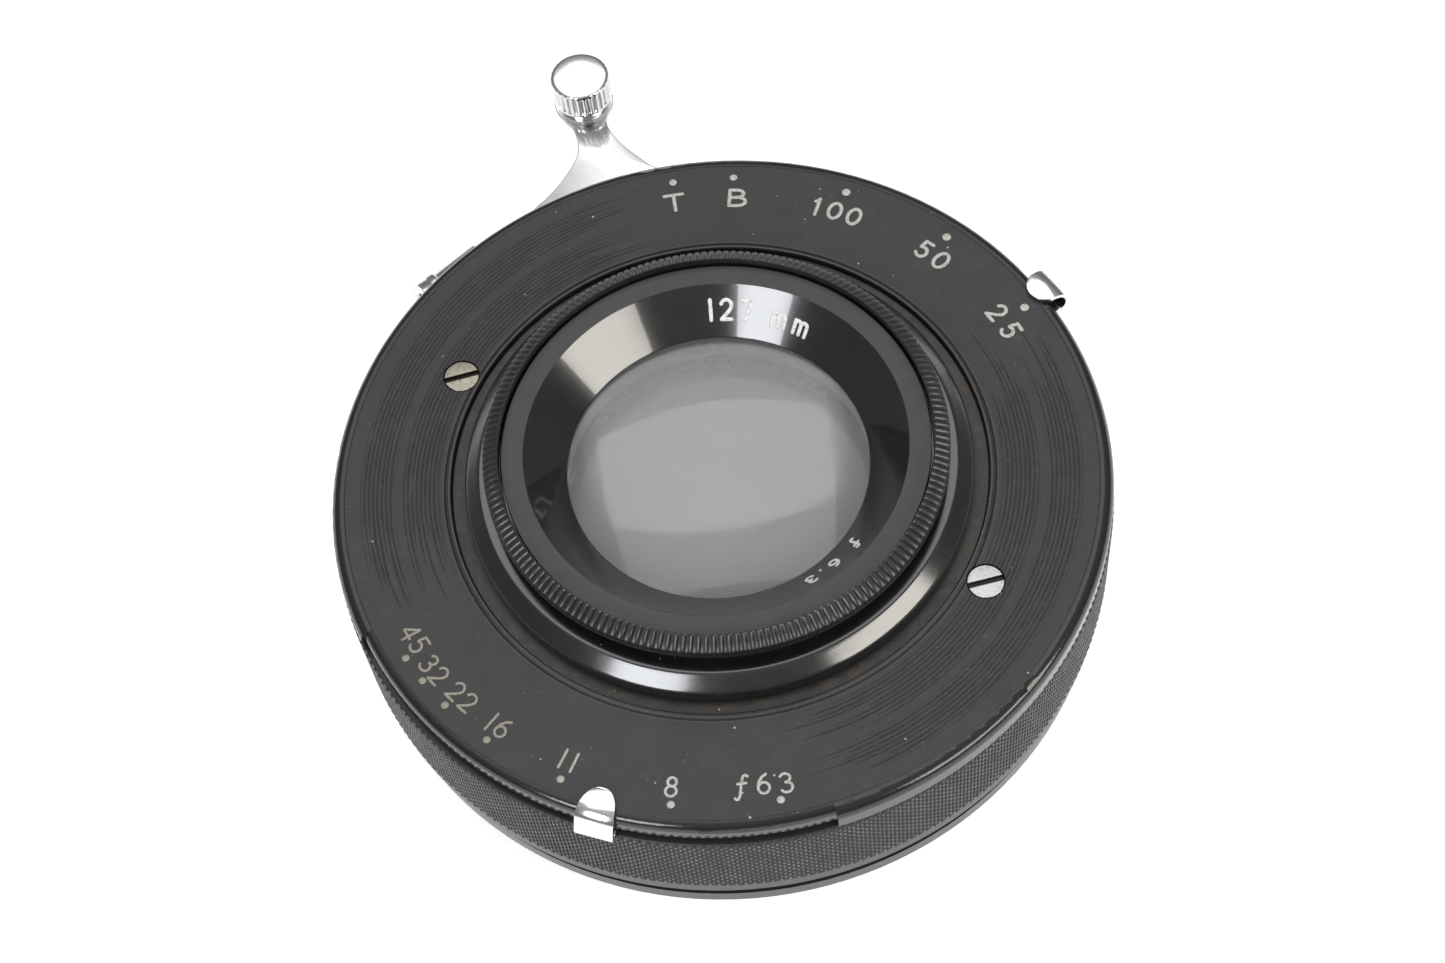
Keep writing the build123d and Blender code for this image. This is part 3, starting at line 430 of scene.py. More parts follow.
def mat_lip():
    """The same enamel as the face, rubbed glossy on the rounded shoulder."""
    m = Mat("enamel_shoulder", Specular_IOR_Level=0.55)
    col = m.mix(m.noise(0.2, 3), (0.0105, 0.0100, 0.0105), (0.0165, 0.0155, 0.0158))
    rub = m.times(m.step(m.noise(2.4, 5, 0.72), 0.60, 0.70), m.step(m.r, 28.9, 29.35))
    col = m.mix(m.math("MULTIPLY", rub, 0.35), col, (0.10, 0.092, 0.085))
    dust = specks(m, 1.0, 0.07, 0.3)
    col = m.mix(m.math("MULTIPLY", dust, 0.7), col, (0.32, 0.31, 0.30))
    m.color(col)
    gloss = m.step(m.r, 28.40, 28.72)
    m.rough(m.math("SUBTRACT", m.lin(m.noise(0.7, 3), 0.36, 0.46), m.math("MULTIPLY", gloss, 0.27)))
    m.bump(m.noise(5.0, 3), 0.006)
    return m.m


def mat_gloss(name="enamel_gloss", base=(0.005, 0.005, 0.0055)):
    m = Mat(name, Specular_IOR_Level=0.6, Coat_Weight=0.9, Coat_Roughness=0.05)
    turned = m.noise(1.0, 2, 0.5, m.vec(m.math("MULTIPLY", m.r, 9.0), m.math("MULTIPLY", m.z, 9.0),
                                        m.math("MULTIPLY", m.a, 0.01)))
    col = m.mix(m.noise(0.4, 3), base, (0.010, 0.0098, 0.010))
    rub = m.step(m.noise(2.5, 5, 0.7), 0.68, 0.76)
    col = m.mix(m.math("MULTIPLY", rub, 0.5), col, (0.07, 0.068, 0.065))
    dust = specks(m, 1.1, 0.055, 0.22)
    col = m.mix(m.math("MULTIPLY", dust, 0.7), col, (0.35, 0.34, 0.33))
    m.color(col)
    # the serrated rim is duller than the rest, the flange a little softer
    rim = m.times(m.step(m.z, 16.5, 16.7), m.step(m.r, 16.12, 16.18))
    m.put(m.bsdf.inputs["Coat Weight"], m.lin(rim, 0.9, 0.12))
    m.put(m.bsdf.inputs["Coat Roughness"], m.lin(m.step(m.r, 17.0, 17.6), 0.05, 0.15))
    m.rough(m.math("ADD", m.lin(m.noise(0.8, 3), 0.13, 0.24), m.math("MULTIPLY", rim, 0.20)))
    m.bump(m.math("ADD", turned, m.math("MULTIPLY", m.noise(1.2, 2), 0.6)), 0.0035)
    return m.m


def mat_knurl():
    """Black enamel whose knurled points are worn paler."""
    m = Mat("enamel_knurl", Specular_IOR_Level=0.6)
    col = m.mix(m.noise(0.25, 4), (0.014, 0.014, 0.015), (0.024, 0.024, 0.025))
    zone = m.times(m.step(m.z, 4.15, 4.25), m.step(m.z, 11.45, 11.3))
    tip = m.times(m.step(m.r, 29.40, 29.49), zone)
    worn = m.math("MULTIPLY", tip, m.lin(m.step(m.noise(0.6, 4, 0.7), 0.35, 0.7), 0.25, 0.95))
    col = m.mix(worn, col, (0.13, 0.128, 0.125))
    # darker down in the valleys between the knurled points
    valley_dark = m.times(m.step(m.r, 29.42, 29.30), zone)
    col = m.mix(m.math("MULTIPLY", valley_dark, 0.6), col, (0.012, 0.011, 0.010))
    dust = specks(m, 1.2, 0.06, 0.2)
    col = m.mix(m.math("MULTIPLY", dust, 0.6), col, (0.3, 0.3, 0.29))
    m.color(col)
    m.rough(m.lin(m.noise(1.1, 3), 0.30, 0.44))
    m.bump(m.noise(7.0, 3), 0.006)
    return m.m


def mat_nickel(name="nickel_plate", base=(0.72, 0.715, 0.72), lo=0.09, hi=0.22):
    m = Mat(name, Metallic=1.0)
    col = m.mix(m.noise(0.5, 4), base, tuple(c * 0.90 for c in base))
    smudge = m.step(m.noise(1.7, 5, 0.72), 0.62, 0.72)
    col = m.mix(m.math("MULTIPLY", smudge, 0.45), col, (0.46, 0.455, 0.44))
    pit = specks(m, 1.5, 0.07, 0.22)
    col = m.mix(m.math("MULTIPLY", pit, 0.7), col, (0.20, 0.19, 0.18))
    m.color(col)
    m.rough(m.math("ADD", m.lin(m.noise(1.1, 4), lo, hi), m.math("MULTIPLY", smudge, 0.16)))
    h = m.noise(1.0, 3, 0.6, m.vec(m.math("MULTIPLY", m.x, 2.0), m.math("MULTIPLY", m.y, 14.0), m.math("MULTIPLY", m.z, 14.0)))
    m.bump(m.math("ADD", h, m.math("MULTIPLY", pit, -1.2)), 0.0025)
    return m.m


def mat_screw():
    """Turned screw head: creamy worn plating, darker low down in the slot and round the foot of the head."""
    m = Mat("screw_plate", Metallic=1.0)
    left = m.step(m.x, 5.0, -5.0)
    col = m.mix(m.noise(1.4, 4), (0.46, 0.455, 0.47), (0.37, 0.365, 0.375))
    col = m.mix(left, col, m.mix(m.noise(1.6, 4), (0.33, 0.31, 0.265), (0.23, 0.21, 0.17)))
    tarn = m.times(m.step(m.noise(3.4, 5, 0.7), 0.50, 0.62), m.lin(left, 0.35, 1.0))
    col = m.mix(m.math("MULTIPLY", tarn, 0.7), col, (0.13, 0.115, 0.085))
    # darker low down: in the slot and round the foot of the head
    slot = m.step(m.z, 13.48, 13.34)
    col = m.mix(m.math("MULTIPLY", slot, 0.93), col, (0.02, 0.018, 0.016))
    m.color(col)
    m.rough(m.math("ADD", m.lin(m.noise(3.0, 4), 0.22, 0.42), m.math("MULTIPLY", slot, 0.3)))
    m.bump(m.noise(1.0, 3, 0.6, m.vec(m.math("MULTIPLY", m.x, 3.0), m.math("MULTIPLY", m.y, 16.0), m.z)), 0.004)
    return m.m


def mat_metal(name, a, b, lo, hi, tarnish=(0.2, 0.15, 0.08), k=0.5, scale=0.9):
    m = Mat(name, Metallic=1.0)
    col = m.mix(m.noise(scale, 4), a, b)
    t = m.step(m.noise(scale * 2.1, 5, 0.7), 0.55, 0.72)
    col = m.mix(m.math("MULTIPLY", t, k), col, tarnish)
    m.color(col)
    m.rough(m.lin(m.noise(scale * 1.7, 4), lo, hi))
    turned = m.noise(1.0, 2, 0.5, m.vec(m.math("MULTIPLY", m.r, 11.0), m.math("MULTIPLY", m.z, 11.0),
                                        m.math("MULTIPLY", m.a, 0.01)))
    m.bump(turned, 0.003)
    return m.m


def mat_glass(name, ior=1.53, tint=(0.97, 0.985, 0.98), rough=0.0, through=1.0):
    m = Mat(name, Transmission_Weight=through, IOR=ior)
    dust = specks(m, 1.3, 0.05, 0.18)
    haze = m.step(m.noise(0.45, 4), 0.3, 0.8)
    m.color(m.mix(m.math("MULTIPLY", dust, 0.5), tint, (0.75, 0.75, 0.74)))
    m.rough(m.math("ADD", m.math("MULTIPLY", haze, 0.03), m.math("ADD", m.math("MULTIPLY", dust, 0.4), rough)))
    return m.m


def mat_paint(name, a, b, old=True):
    """Old filled-in scale paint."""
    m = Mat(name, Specular_IOR_Level=0.5)
    col = m.mix(m.noise(2.2, 4), a, b)
    if old:
        # browner and thinner towards the small apertures
        aged = m.times(m.step(m.y, -6.0, -22.0), m.step(m.x, 7.0, -5.0))
        col = m.mix(m.math("MULTIPLY", aged, 0.85), col, tuple(c * k for c, k in zip(a, (0.56, 0.52, 0.44))))
    dirt = m.step(m.noise(5.0, 4, 0.7), 0.50, 0.64)
    col = m.mix(m.math("MULTIPLY", dirt, 0.65), col, tuple(c * k for c, k in zip(a, (0.42, 0.38, 0.32))))
    m.color(col)
    m.rough(m.lin(m.noise(3.0, 3), 0.28, 0.5))
    m.bump(m.noise(10.0, 3), 0.012)
    return m.m


FACE = mat_face()
SATIN = mat_enamel()
GLOSS = mat_gloss()
LIP = mat_lip()
MATTE = mat_enamel("enamel_matte", 0.42, 0.55, (0.022, 0.022, 0.022))
KNURL = mat_knurl()
NICKEL = mat_nickel()
SCREW = mat_screw()
STEEL = mat_metal("turned_steel", (0.52, 0.52, 0.51), (0.62, 0.61, 0.60), 0.24, 0.38, (0.30, 0.28, 0.25))
BRASS = mat_metal("turned_brass", (0.62, 0.47, 0.22), (0.72, 0.56, 0.29), 0.22, 0.36, (0.34, 0.24, 0.11))
BLUED = mat_metal("blued_steel", (0.040, 0.042, 0.048), (0.055, 0.056, 0.062), 0.50, 0.62, (0.035, 0.032, 0.03))
GLASS = mat_glass("optical_glass", rough=0.05, through=0.95)
GLASS_IN = mat_glass("optical_glass_inner", through=0.90)
CREAM = mat_paint("scale_paint", (0.40, 0.39, 0.355), (0.52, 0.51, 0.475))
WHITE = mat_paint("ring_paint", (0.66, 0.66, 0.64), (0.82, 0.82, 0.81), old=False)

by_slot = {
    "enamel": SATIN, "gloss_black": GLOSS, "nickel": NICKEL, "steel": STEEL, "brass": BRASS,
    "blued": BLUED, "optical_glass": GLASS,
}


def paint(node, mat):
    o = nodes[node]
    o.data.materials.clear()
    o.data.materials.append(mat)


# every CAD node first gets a procedural material by what it is made of
PLAN = {
    SATIN: ("rear_plate",),
    LIP: ("case_wall",),
    FACE: ("face_plate",),
    KNURL: ("speed_ring",),
    GLOSS: ("front_barrel", "name_ring", "rear_barrel", "rear_retaining_ring"),
    NICKEL: ("speed_pointer", "iris_pointer", "release_knob", "release_lever", "cable_socket"),
    SCREW: ("face_screws", "rear_screws"),
    GLASS: ("front_element",),
    GLASS_IN: ("second_element", "rear_element_a", "rear_element_b"),
}
for mat, names in PLAN.items():
    for n in names:
        paint(n, mat)
for n in nodes:
    if n.startswith("iris_leaf_") or n.startswith("shutter_blade_"):
        paint(n, BLUED)
    elif not any(n in names for names in PLAN.values()):
        steel = n in ("lever_drive_pin", "spring_stud", "spring_post", "return_spring", "retard_pinion",
                      "speed_cam", "retard_selector", "front_spacer")
        paint(n, STEEL if steel else BRASS)
paint("front_spacer", MATTE)

# ---------------------------------------------------------------------------
# speed ring: diamond knurl cut in the metal
# ---------------------------------------------------------------------------
def knurled_ring():
    NC = 570                      # grid columns, two per diamond
    NR = 22
    Z0, Z1, RP, RV = 4.2, 11.35, 29.5, 29.25
    top = 0.30                    # half size of a worn flat point, in grid steps
    verts, faces = [], []

    def add(r, u, z):
        a = 2 * pi * u / NC
        verts.append((r * cos(a), r * sin(a), z))
        return len(verts) - 1

    def zz(j):
        return Z0 + (Z1 - Z0) * j / NR

    valley = {}
    for j in range(NR + 1):
        for i in range(NC):
            if (i + j) % 2:
                valley[(i, j)] = add(RV, i, zz(j))

    def V(i, j):
        return valley[(i % NC, j)]

    lower, upper = {}, {}
    for j in range(NR + 1):
        for i in range(NC):
            if (i + j) % 2:
                continue
            E, W = add(RP, i + top, zz(j)), add(RP, i - top, zz(j))
            if j < NR:
                N = add(RP, i, zz(j + top))
            if j > 0:
                S = add(RP, i, zz(j - top))
            if j == 0:
                faces += [(V(i + 1, 0), V(i, 1), N, E), (V(i, 1), V(i - 1, 0), W, N), (E, N, W)]
                lower[i] = (W, E)
            elif j == NR:
                faces += [(V(i, NR - 1), V(i + 1, NR), E, S), (V(i - 1, NR), V(i, NR - 1), S, W), (E, W, S)]
                upper[i] = (W, E)
            else:
                faces += [(V(i + 1, j), V(i, j + 1), N, E), (V(i, j + 1), V(i - 1, j), W, N),
                          (V(i - 1, j), V(i, j - 1), S, W), (V(i, j - 1), V(i + 1, j), E, S), (E, N, W, S)]

    def border(j, table):
        chain, us = [], []
        for i in range(NC):
            if (i + j) % 2:
                chain.append(V(i, j))
                us.append(i)
            else:
                W, E = table[i]
                chain += [W, E]
                us += [i - top, i + top]
        return chain, us

    lo, us = border(0, lower)
    hi, us2 = border(NR, upper)
    n = len(lo)
    below = [(29.18, 4.12), (29.35, 4.04), (29.35, 3.0), (29.28, 2.86), (29.0, 2.6), (28.3, 2.6)]
    above = [(29.33, 11.46), (29.25, 11.5), (28.3, 11.5)]
    prev = lo
    for r, z in below:
        ring = [add(r, u, z) for u in us]
        for k in range(n):
            faces.append((prev[k], ring[k], ring[(k + 1) % n], prev[(k + 1) % n]))
        prev = ring
    inner = prev
    prev = hi
    for r, z in above:
        ring = [add(r, u, z) for u in us2]
        for k in range(n):
            faces.append((prev[k], prev[(k + 1) % n], ring[(k + 1) % n], ring[k]))
        prev = ring
    for k in range(n):
        faces.append((inner[k], prev[k], prev[(k + 1) % n], inner[(k + 1) % n]))
    return verts, outward(verts, faces)


v, f = knurled_ring()
make("speed_ring_knurled", v, f, "speed_selector", "enamel", ("speed_ring",), 18.0, KNURL)


# ---------------------------------------------------------------------------
# front barrel with its toothed rim
# ---------------------------------------------------------------------------
def toothed_barrel():
    TEETH, SUB = 192, 6
    n = TEETH * SUB
    shape = (0.0, 0.72, 1.0, 1.0, 1.0, 0.72)      # 0 in the bottom of a cut, 1 on a tooth
    prof = [(11.0, 8.9), (13.85, 8.9), (14.0, 9.05), (14.0, 13.33), (18.97, 13.33), (19.04, 13.37), (19.05, 13.45), (19.05, 13.9),
            (19.05, 14.30), (19.04, 14.37), (18.99, 14.445), (18.90, 14.53), (18.6, 14.775), (18.2, 15.10), (17.98, 15.28), (17.90, 15.335),
            (17.80, 15.365), (17.65, 15.375), (17.1, 15.39), (16.62, 15.41), (16.52, 15.44), (16.46, 15.52), (16.45, 15.62), (16.45, 16.24), (16.52, 16.33), (17.16, 16.56),
            (17.27, 16.62), (17.3, 16.70)]
    # from here on the outline follows the teeth: (r, z, depth factor)
    toothed = [(17.30, 17.10, 0.0), (17.30, 17.22, 1.0), (17.30, 17.42, 1.0), (17.22, 17.52, 1.0), (16.72, 17.78, 1.0), (16.30, 17.97, 1.0),
               (16.20, 18.02, 0.4), (16.15, 18.035, 0.0)]
    inner = [(16.10, 18.0), (16.08, 17.9), (16.08, 16.35), (16.04, 16.3), (14.65, 16.3), (14.65, 13.9), (12.3, 13.9),
             (12.3, 9.55), (11.0, 9.55)]
    depth = 0.11
    verts, faces = [], []

    def ring(r, z, d=0.0):
        k0 = len(verts)
        for k in range(n):
            a = 2 * pi * k / n
            cut = depth * d * (1 - shape[k % SUB])
            # cut square to the bevel
            verts.append(((r - cut * 0.55) * cos(a), (r - cut * 0.55) * sin(a), z - cut * 0.83 * (1 if z > 17.3 else 0)))
        return k0

    rings = [ring(*p) for p in prof] + [ring(*p) for p in toothed] + [ring(*p) for p in inner]
    m = len(rings)
    for i in range(m):
        a, b = rings[i], rings[(i + 1) % m]
        for k in range(n):
            k2 = (k + 1) % n
            faces.append((a + k, a + k2, b + k2, b + k))
    return verts, outward(verts, faces)


v, f = toothed_barrel()
make("front_barrel_toothed", v, f, "case", "gloss_black", ("front_barrel",), 25.0, GLOSS)

# name ring: cone, flat land and rounded corners
prof = fillet([(11.3, 14.36), (14.3, 17.34), (15.95, 17.34), (15.95, 16.35), (14.6, 16.35), (14.6, 13.95), (12.35, 13.95),
               (12.2, 14.06)], {0: 0.04, 1: 0.10, 2: 0.08}, 6)
prof2 = []
for i, p in enumerate(prof):
    q = prof[(i + 1) % len(prof)]
    prof2.append(p)
    if hypot(q[0] - p[0], q[1] - p[1]) > 1.2:
        prof2 += [(p[0] + (q[0] - p[0]) * t, p[1] + (q[1] - p[1]) * t) for t in (0.02, 0.5, 0.98)]
ob = lathe("name_ring_cone", prof2, "case", "gloss_black", GLOSS, ("name_ring",), 256, 40)
ob.data.materials.append(MATTE)
for p in ob.data.polygons:
    c = p.center / MM
    if p.normal.z > 0.8 and hypot(c.x, c.y) > 14.25:
        p.material_index = 1


# enamel that has run into the seam between the face and the shoulder, a hair below both
lathe("seam_enamel", [(28.345, 13.0), (28.42, 13.0), (28.42, 13.588), (28.40, 13.590), (28.36, 13.590), (28.345, 13.588)],
      "case", "enamel", LIP, (), 360, 32)


# ---------------------------------------------------------------------------
# glass elements, finely turned
# ---------------------------------------------------------------------------
def sag(r, radius):
    return radius - sqrt(radius * radius - r * r)


def lens_profile(z0, r0, rad0, s0, z1, r1, rad1, s1, mid=()):
    k = 18
    top = [(r0 * i / k, z0 + s0 * sag(r0 * i / k, rad0)) for i in range(k + 1)]
    bot = [(r1 * i / k, z1 + s1 * sag(r1 * i / k, rad1)) for i in range(k, -1, -1)]
    return top + list(mid) + bot


lathe("front_glass", lens_profile(16.15, 12.2, 36, -1, 12.1, 12.2, 150, 1), "case", "optical_glass", GLASS,
      ("front_element",), 192, 30)
z2 = 11.45 + sag(11.5, 100)
z3 = 10.35 - sag(10.9, 90)
lathe("second_glass", lens_profile(11.45, 11.5, 100, 1, 10.35, 10.9, 90, -1, [(12.2, z2), (12.2, 9.6), (10.9, 9.6)]),
      "case", "optical_glass", GLASS_IN, ("second_element",), 192, 30)
lathe("rear_glass_a", lens_profile(-2.0, 10.2, 80, 1, -3.4, 11.2, 28, -1, [(11.2, -2.0 + sag(10.2, 80))]),
      "case", "optical_glass", GLASS_IN, ("rear_element_a",), 192, 30)
lathe("rear_glass_b", lens_profile(-3.44, 11.2, 28, -1, -8.6, 11.2, 48, 1), "case", "optical_glass", GLASS,
      ("rear_element_b",), 192, 30)


# ---------------------------------------------------------------------------
# screws of the face
# ---------------------------------------------------------------------------
def screw(centre, slot_deg):
    """Slightly crowned head with a straight slot, on its shank."""
    R, W = 1.35, 0.2
    parts = []
    k = 26
    c, s = cos(radians(slot_deg)), sin(radians(slot_deg))
    for side in (1, -1):
        t0 = asin((W + 0.01) / R)
        out = [(R * cos(t0 + (pi - 2 * t0) * i / k), R * sin(t0 + (pi - 2 * t0) * i / k)) for i in range(k + 1)]
        out = [(x, y * side) for x, y in out]
        if side < 0:
            out = out[::-1]
        v, f = sheet_plate("tmp", [out], 13.20, 13.60, 0.05, 3)
        v = [(x, y, z + 0.0) for x, y, z in v]
        v2 = []
        for x, y, z in v:
            drop = 0.035 * (x * x + y * y) / (R * R) if z > 13.5 else 0.0
            v2.append((centre[0] + c * x - s * y, centre[1] + s * x + c * y, z - drop))
        parts.append(weld(v2, f))
    base = lathe_mesh([(0, 13.30), (1.3, 13.30), (1.33, 13.27), (1.33, 13.20), (0.8, 13.18), (0.8, 8.7), (0.7, 8.6), (0, 8.6)], 48, centre)
    base = (base[0], outward(*base))
    return merge(*parts, base)


v, f = merge(screw(pol(21.95, 181.4), 41.0), screw(pol(21.95, -1.7), 40.0))
make("face_screw_heads", v, f, "case", "nickel", ("face_screws",), 35.0, SCREW)


# ---------------------------------------------------------------------------
# release knob, lever, cable socket
# ---------------------------------------------------------------------------
KX, KY = pol(46.6, 132.0)


def knob():
    T, SUB = 28, 8
    n = T * SUB
    shape = [0.0, 0.45, 0.85, 1.0, 1.0, 1.0, 0.85, 0.45]
    prof = [(0, 1.3, 0), (0.70, 1.3, 0), (0.75, 1.35, 0), (0.75, 2.3, 0), (2.12, 2.3, 0), (2.2, 2.38, 0), (2.2, 2.9, 0), (2.12, 3.1, 0), (2.05, 3.12, 0), (2.08, 3.16, 0),
            (2.42, 3.17, 0), (2.54, 3.22, 0), (2.6, 3.34, 0), (2.6, 3.52, 0.3), (2.6, 3.60, 1), (2.6, 5.28, 1), (2.6, 5.42, 0.75), (2.57, 5.60, 0.25), (2.50, 5.74, 0.0), (2.36, 5.84, 0),
            (2.1, 5.895, 0), (1.4, 5.90, 0), (0.7, 5.90, 0), (0, 5.90, 0)]
    verts, rings, faces = [], [], []
    for r, z, d in prof:
        if r == 0:
            rings.append([len(verts)])
            verts.append((KX, KY, z))
            continue
        rings.append(list(range(len(verts), len(verts) + n)))
        for k in range(n):
            a = 2 * pi * k / n + radians(4)
            rr = r - 0.24 * d * (1 - shape[k % SUB])
            verts.append((KX + rr * cos(a), KY + rr * sin(a), z))
    for A, B in zip(rings, rings[1:]):
        for k in range(n):
            k2 = (k + 1) % n
            if len(A) == 1:
                faces.append((A[0], B[k2], B[k]))
            elif len(B) == 1:
                faces.append((A[k], A[k2], B[0]))
            else:
                faces.append((A[k], A[k2], B[k2], B[k]))
    return verts, outward(verts, faces)


v, f = knob()
make("release_knob_fluted", v, f, "release", "nickel", ("release_knob",), 30.0, NICKEL)

left_edge = [(45.8, 2.45), (44.6, 1.85), (43.96, 1.55), (42.89, 1.5), (41.87, 1.62), (40.96, 2.0), (39.96, 2.75),
             (38.95, 3.75), (38.05, 4.8), (37.35, 5.78), (36.83, 6.69), (35.9, 7.8), (34.6, 8.8), (32.6, 9.5),
             (29.5, 9.75), (26.0, 9.8)]
right_edge = [(26.0, -9.8), (29.5, -9.75), (32.6, -9.4), (34.7, -8.3), (36.0, -6.8), (36.9, -5.3), (37.83, -4.05),
              (39.2, -3.15), (40.38, -2.47), (41.65, -1.89), (42.83, -1.57), (43.8, -1.5), (44.6, -1.85), (45.8, -2.45)]


def spline(pts, per=5):
    """Smooth open line through points."""
    out = []
    for i in range(len(pts) - 1):
        p0 = pts[max(i - 1, 0)]
        p1, p2 = pts[i], pts[i + 1]
        p3 = pts[min(i + 2, len(pts) - 1)]
        for k in range(per):
            t = k / per
            q = []
            for a, b, c, d in zip(p0, p1, p2, p3):
                q.append(0.5 * (2 * b + (c - a) * t + (2 * a - 5 * b + 4 * c - d) * t * t + (3 * b - 3 * c + d - a) * t ** 3))
            out.append(tuple(q))
    out.append(pts[-1])
    return out


def turn2(p, a):
    c, s = cos(radians(a)), sin(radians(a))
    return (c * p[0] - s * p[1], s * p[0] + c * p[1])


def lever():
    LA = 132.2
    kc = turn2((KX, KY), -LA)
    # right edge outward, round the knob seat, left edge inward, then round the ring
    seat0 = degrees(atan2(-2.2 - kc[1], 45.25 - kc[0]))
    seat1 = degrees(atan2(2.2 - kc[1], 45.25 - kc[0]))
    arc = []
    k = 30
    s0, s1 = seat0, seat1
    if s1 < s0:
        s1 += 360
    for i in range(k + 1):
        t = radians(s0 + (s1 - s0) * i / k)
        arc.append((kc[0] + 2.61 * cos(t), kc[1] + 2.61 * sin(t)))
    right = spline(right_edge[:-1])
    left = spline(left_edge[1:])
    # ring edge, from the left shoulder all the way round to the right shoulder
    r_ring = 26.6
    a_l = degrees(asin(9.79 / r_ring))
    ring = []
    steps = 150
    for i in range(steps + 1):
        a = a_l + (360 - 2 * a_l) * i / steps
        ring.append((r_ring * cos(radians(a)), r_ring * sin(radians(a))))
    right = [p for p in right if hypot(*p) > 26.7]
    left = [p for p in left if hypot(*p) > 26.7]
    outline = [turn2(p, LA) for p in right + arc + left + ring]
    holes = []
    hole = [pol(17.06, -360.0 * i / 160) for i in range(160)]
    # the bore and the two post slots open into each other only at the CAD's slots, kept apart here
    holes.append(hole)
    for pa in (181.4, -1.7):
        path = [pol(21.95, pa - 1.2 + 17.4 * i / 14) for i in range(15)]
        holes.append(track(path, 1.85)[::-1])
    return outline, holes


def track(path, half):
    left, right = [], []
    n = len(path)
    for i, (x, y) in enumerate(path):
        x0, y0 = path[max(i - 1, 0)]
        x1, y1 = path[min(i + 1, n - 1)]
        dx, dy = x1 - x0, y1 - y0
        d = hypot(dx, dy)
        nx, ny = -dy / d, dx / d
        left.append((x + nx * half, y + ny * half))
        right.append((x - nx * half, y - ny * half))

    def cap(i, j):
        x, y = path[i]
        xb, yb = path[j]
        a = atan2(y - yb, x - xb)
        return [(x + half * cos(a + t), y + half * sin(a + t)) for t in [pi / 2 - pi * k / 10 for k in range(1, 10)]]

    return left + cap(n - 1, n - 2) + right[::-1] + cap(0, 1)


outline, holes = lever()
v, f = sheet_plate("tmp", [outline] + holes, 1.3, 2.3, 0.13, 3)
v, f = weld(v, f)
foot = pol(33.7, 158.5)
td = (-sin(radians(158.5)), cos(radians(158.5)))
ear = (foot[0] - 8.4 * td[0] - 0.55 * cos(radians(158.5)), foot[1] - 8.4 * td[1] - 0.55 * sin(radians(158.5)))
ce, se = cos(radians(158.5)), sin(radians(158.5))
ev, ef = sheet_plate("tmp", [[(-0.95, -0.45), (0.95, -0.45), (0.95, 0.45), (-0.95, 0.45)]], 2.1, 4.2, 0.1, 3)
ev = [(ear[0] + ce * x - se * y, ear[1] + se * x + ce * y, z) for x, y, z in ev]
v, f = merge((v, f), weld(ev, ef))
make("release_lever_arm", v, f, "release", "nickel", ("release_lever",), 35.0, NICKEL)


def socket():
    """Cable socket: a stepped sleeve with a rolled mouth and a cut thread inside, lying along the case."""
    ox, oy = foot[0] + 3.2 * td[0], foot[1] + 3.2 * td[1]
    prof = [(2.25, 0.12), (2.14, 0.02), (2.0, 0.0), (1.5, 0.0), (1.38, 0.05), (1.3, 0.18)]
    L = 6.2
    z = 0.3
    while z < L - 0.4:
        prof += [(1.3, z), (1.46, z + 0.12), (1.3, z + 0.24)]
        z += 0.28
    prof += [(1.3, L - 0.1), (1.36, L), (1.95, L), (2.05, L - 0.1), (2.05, 1.95), (2.08, 1.86), (2.18, 1.8), (2.25, 1.72),
             (2.25, 1.2), (2.22, 1.12), (2.22, 1.02), (2.25, 0.94)]
    n = 72
    verts, faces = [], []
    for r, t in prof:
        for k in range(n):
            a = 2 * pi * k / n
            # local axes: radial outwards from the case, and Z
            u, w = r * cos(a), r * sin(a)
            verts.append((ox - td[0] * t + ce * u, oy - td[1] * t + se * u, 3.45 + w))
    m = len(prof)
    for i in range(m):
        for k in range(n):
            k2 = (k + 1) % n
            j = (i + 1) % m
            faces.append((i * n + k, i * n + k2, j * n + k2, j * n + k))
    return verts, outward(verts, faces)


v, f = socket()
make("cable_socket_sleeve", v, f, "case", "nickel", ("cable_socket",), 40.0, NICKEL)


# ---------------------------------------------------------------------------
# bent pointers
# ---------------------------------------------------------------------------
def pointer(rest, path, widths, thick, inner=()):
    """Strip bent along path [(r, z)], half width by distance, with rounded edges. inner: not used."""
    fine = spline(path, 6)
    n = len(fine)
    wfine = spline([(w,) for w in widths], 6)
    ux, uy = cos(radians(rest)), sin(radians(rest))
    verts, faces = [], []
    ed = 0.06
    half = thick / 2
    rows = []
    for i, (r, z) in enumerate(fine):
        r0, z0 = fine[max(0, i - 1)]
        r1, z1 = fine[min(n - 1, i + 1)]
        d = hypot(r1 - r0, z1 - z0)
        nr, nz = -(z1 - z0) / d, (r1 - r0) / d
        w = wfine[i][0]
        sec = [(-w + ed, half), (w - ed, half), (w - ed * 0.3, half - ed * 0.3), (w, half - ed), (w, -half + ed), (w - ed * 0.3, -half + ed * 0.3),
               (w - ed, -half), (-w + ed, -half), (-w + ed * 0.3, -half + ed * 0.3), (-w, -half + ed), (-w, half - ed), (-w + ed * 0.3, half - ed * 0.3)]
        row = []
        for s, h in sec:
            rr, z_ = r + nr * h, z + nz * h
            verts.append((rr * ux - s * uy, rr * uy + s * ux, z_))
            row.append(len(verts) - 1)
        rows.append(row)
    k = len(rows[0])
    for a, b in zip(rows, rows[1:]):
        for i in range(k):
            faces.append((a[i], a[(i + 1) % k], b[(i + 1) % k], b[i]))
    faces.append(tuple(rows[0][::-1]))
    faces.append(tuple(rows[-1]))
    return verts, outward(verts, faces)


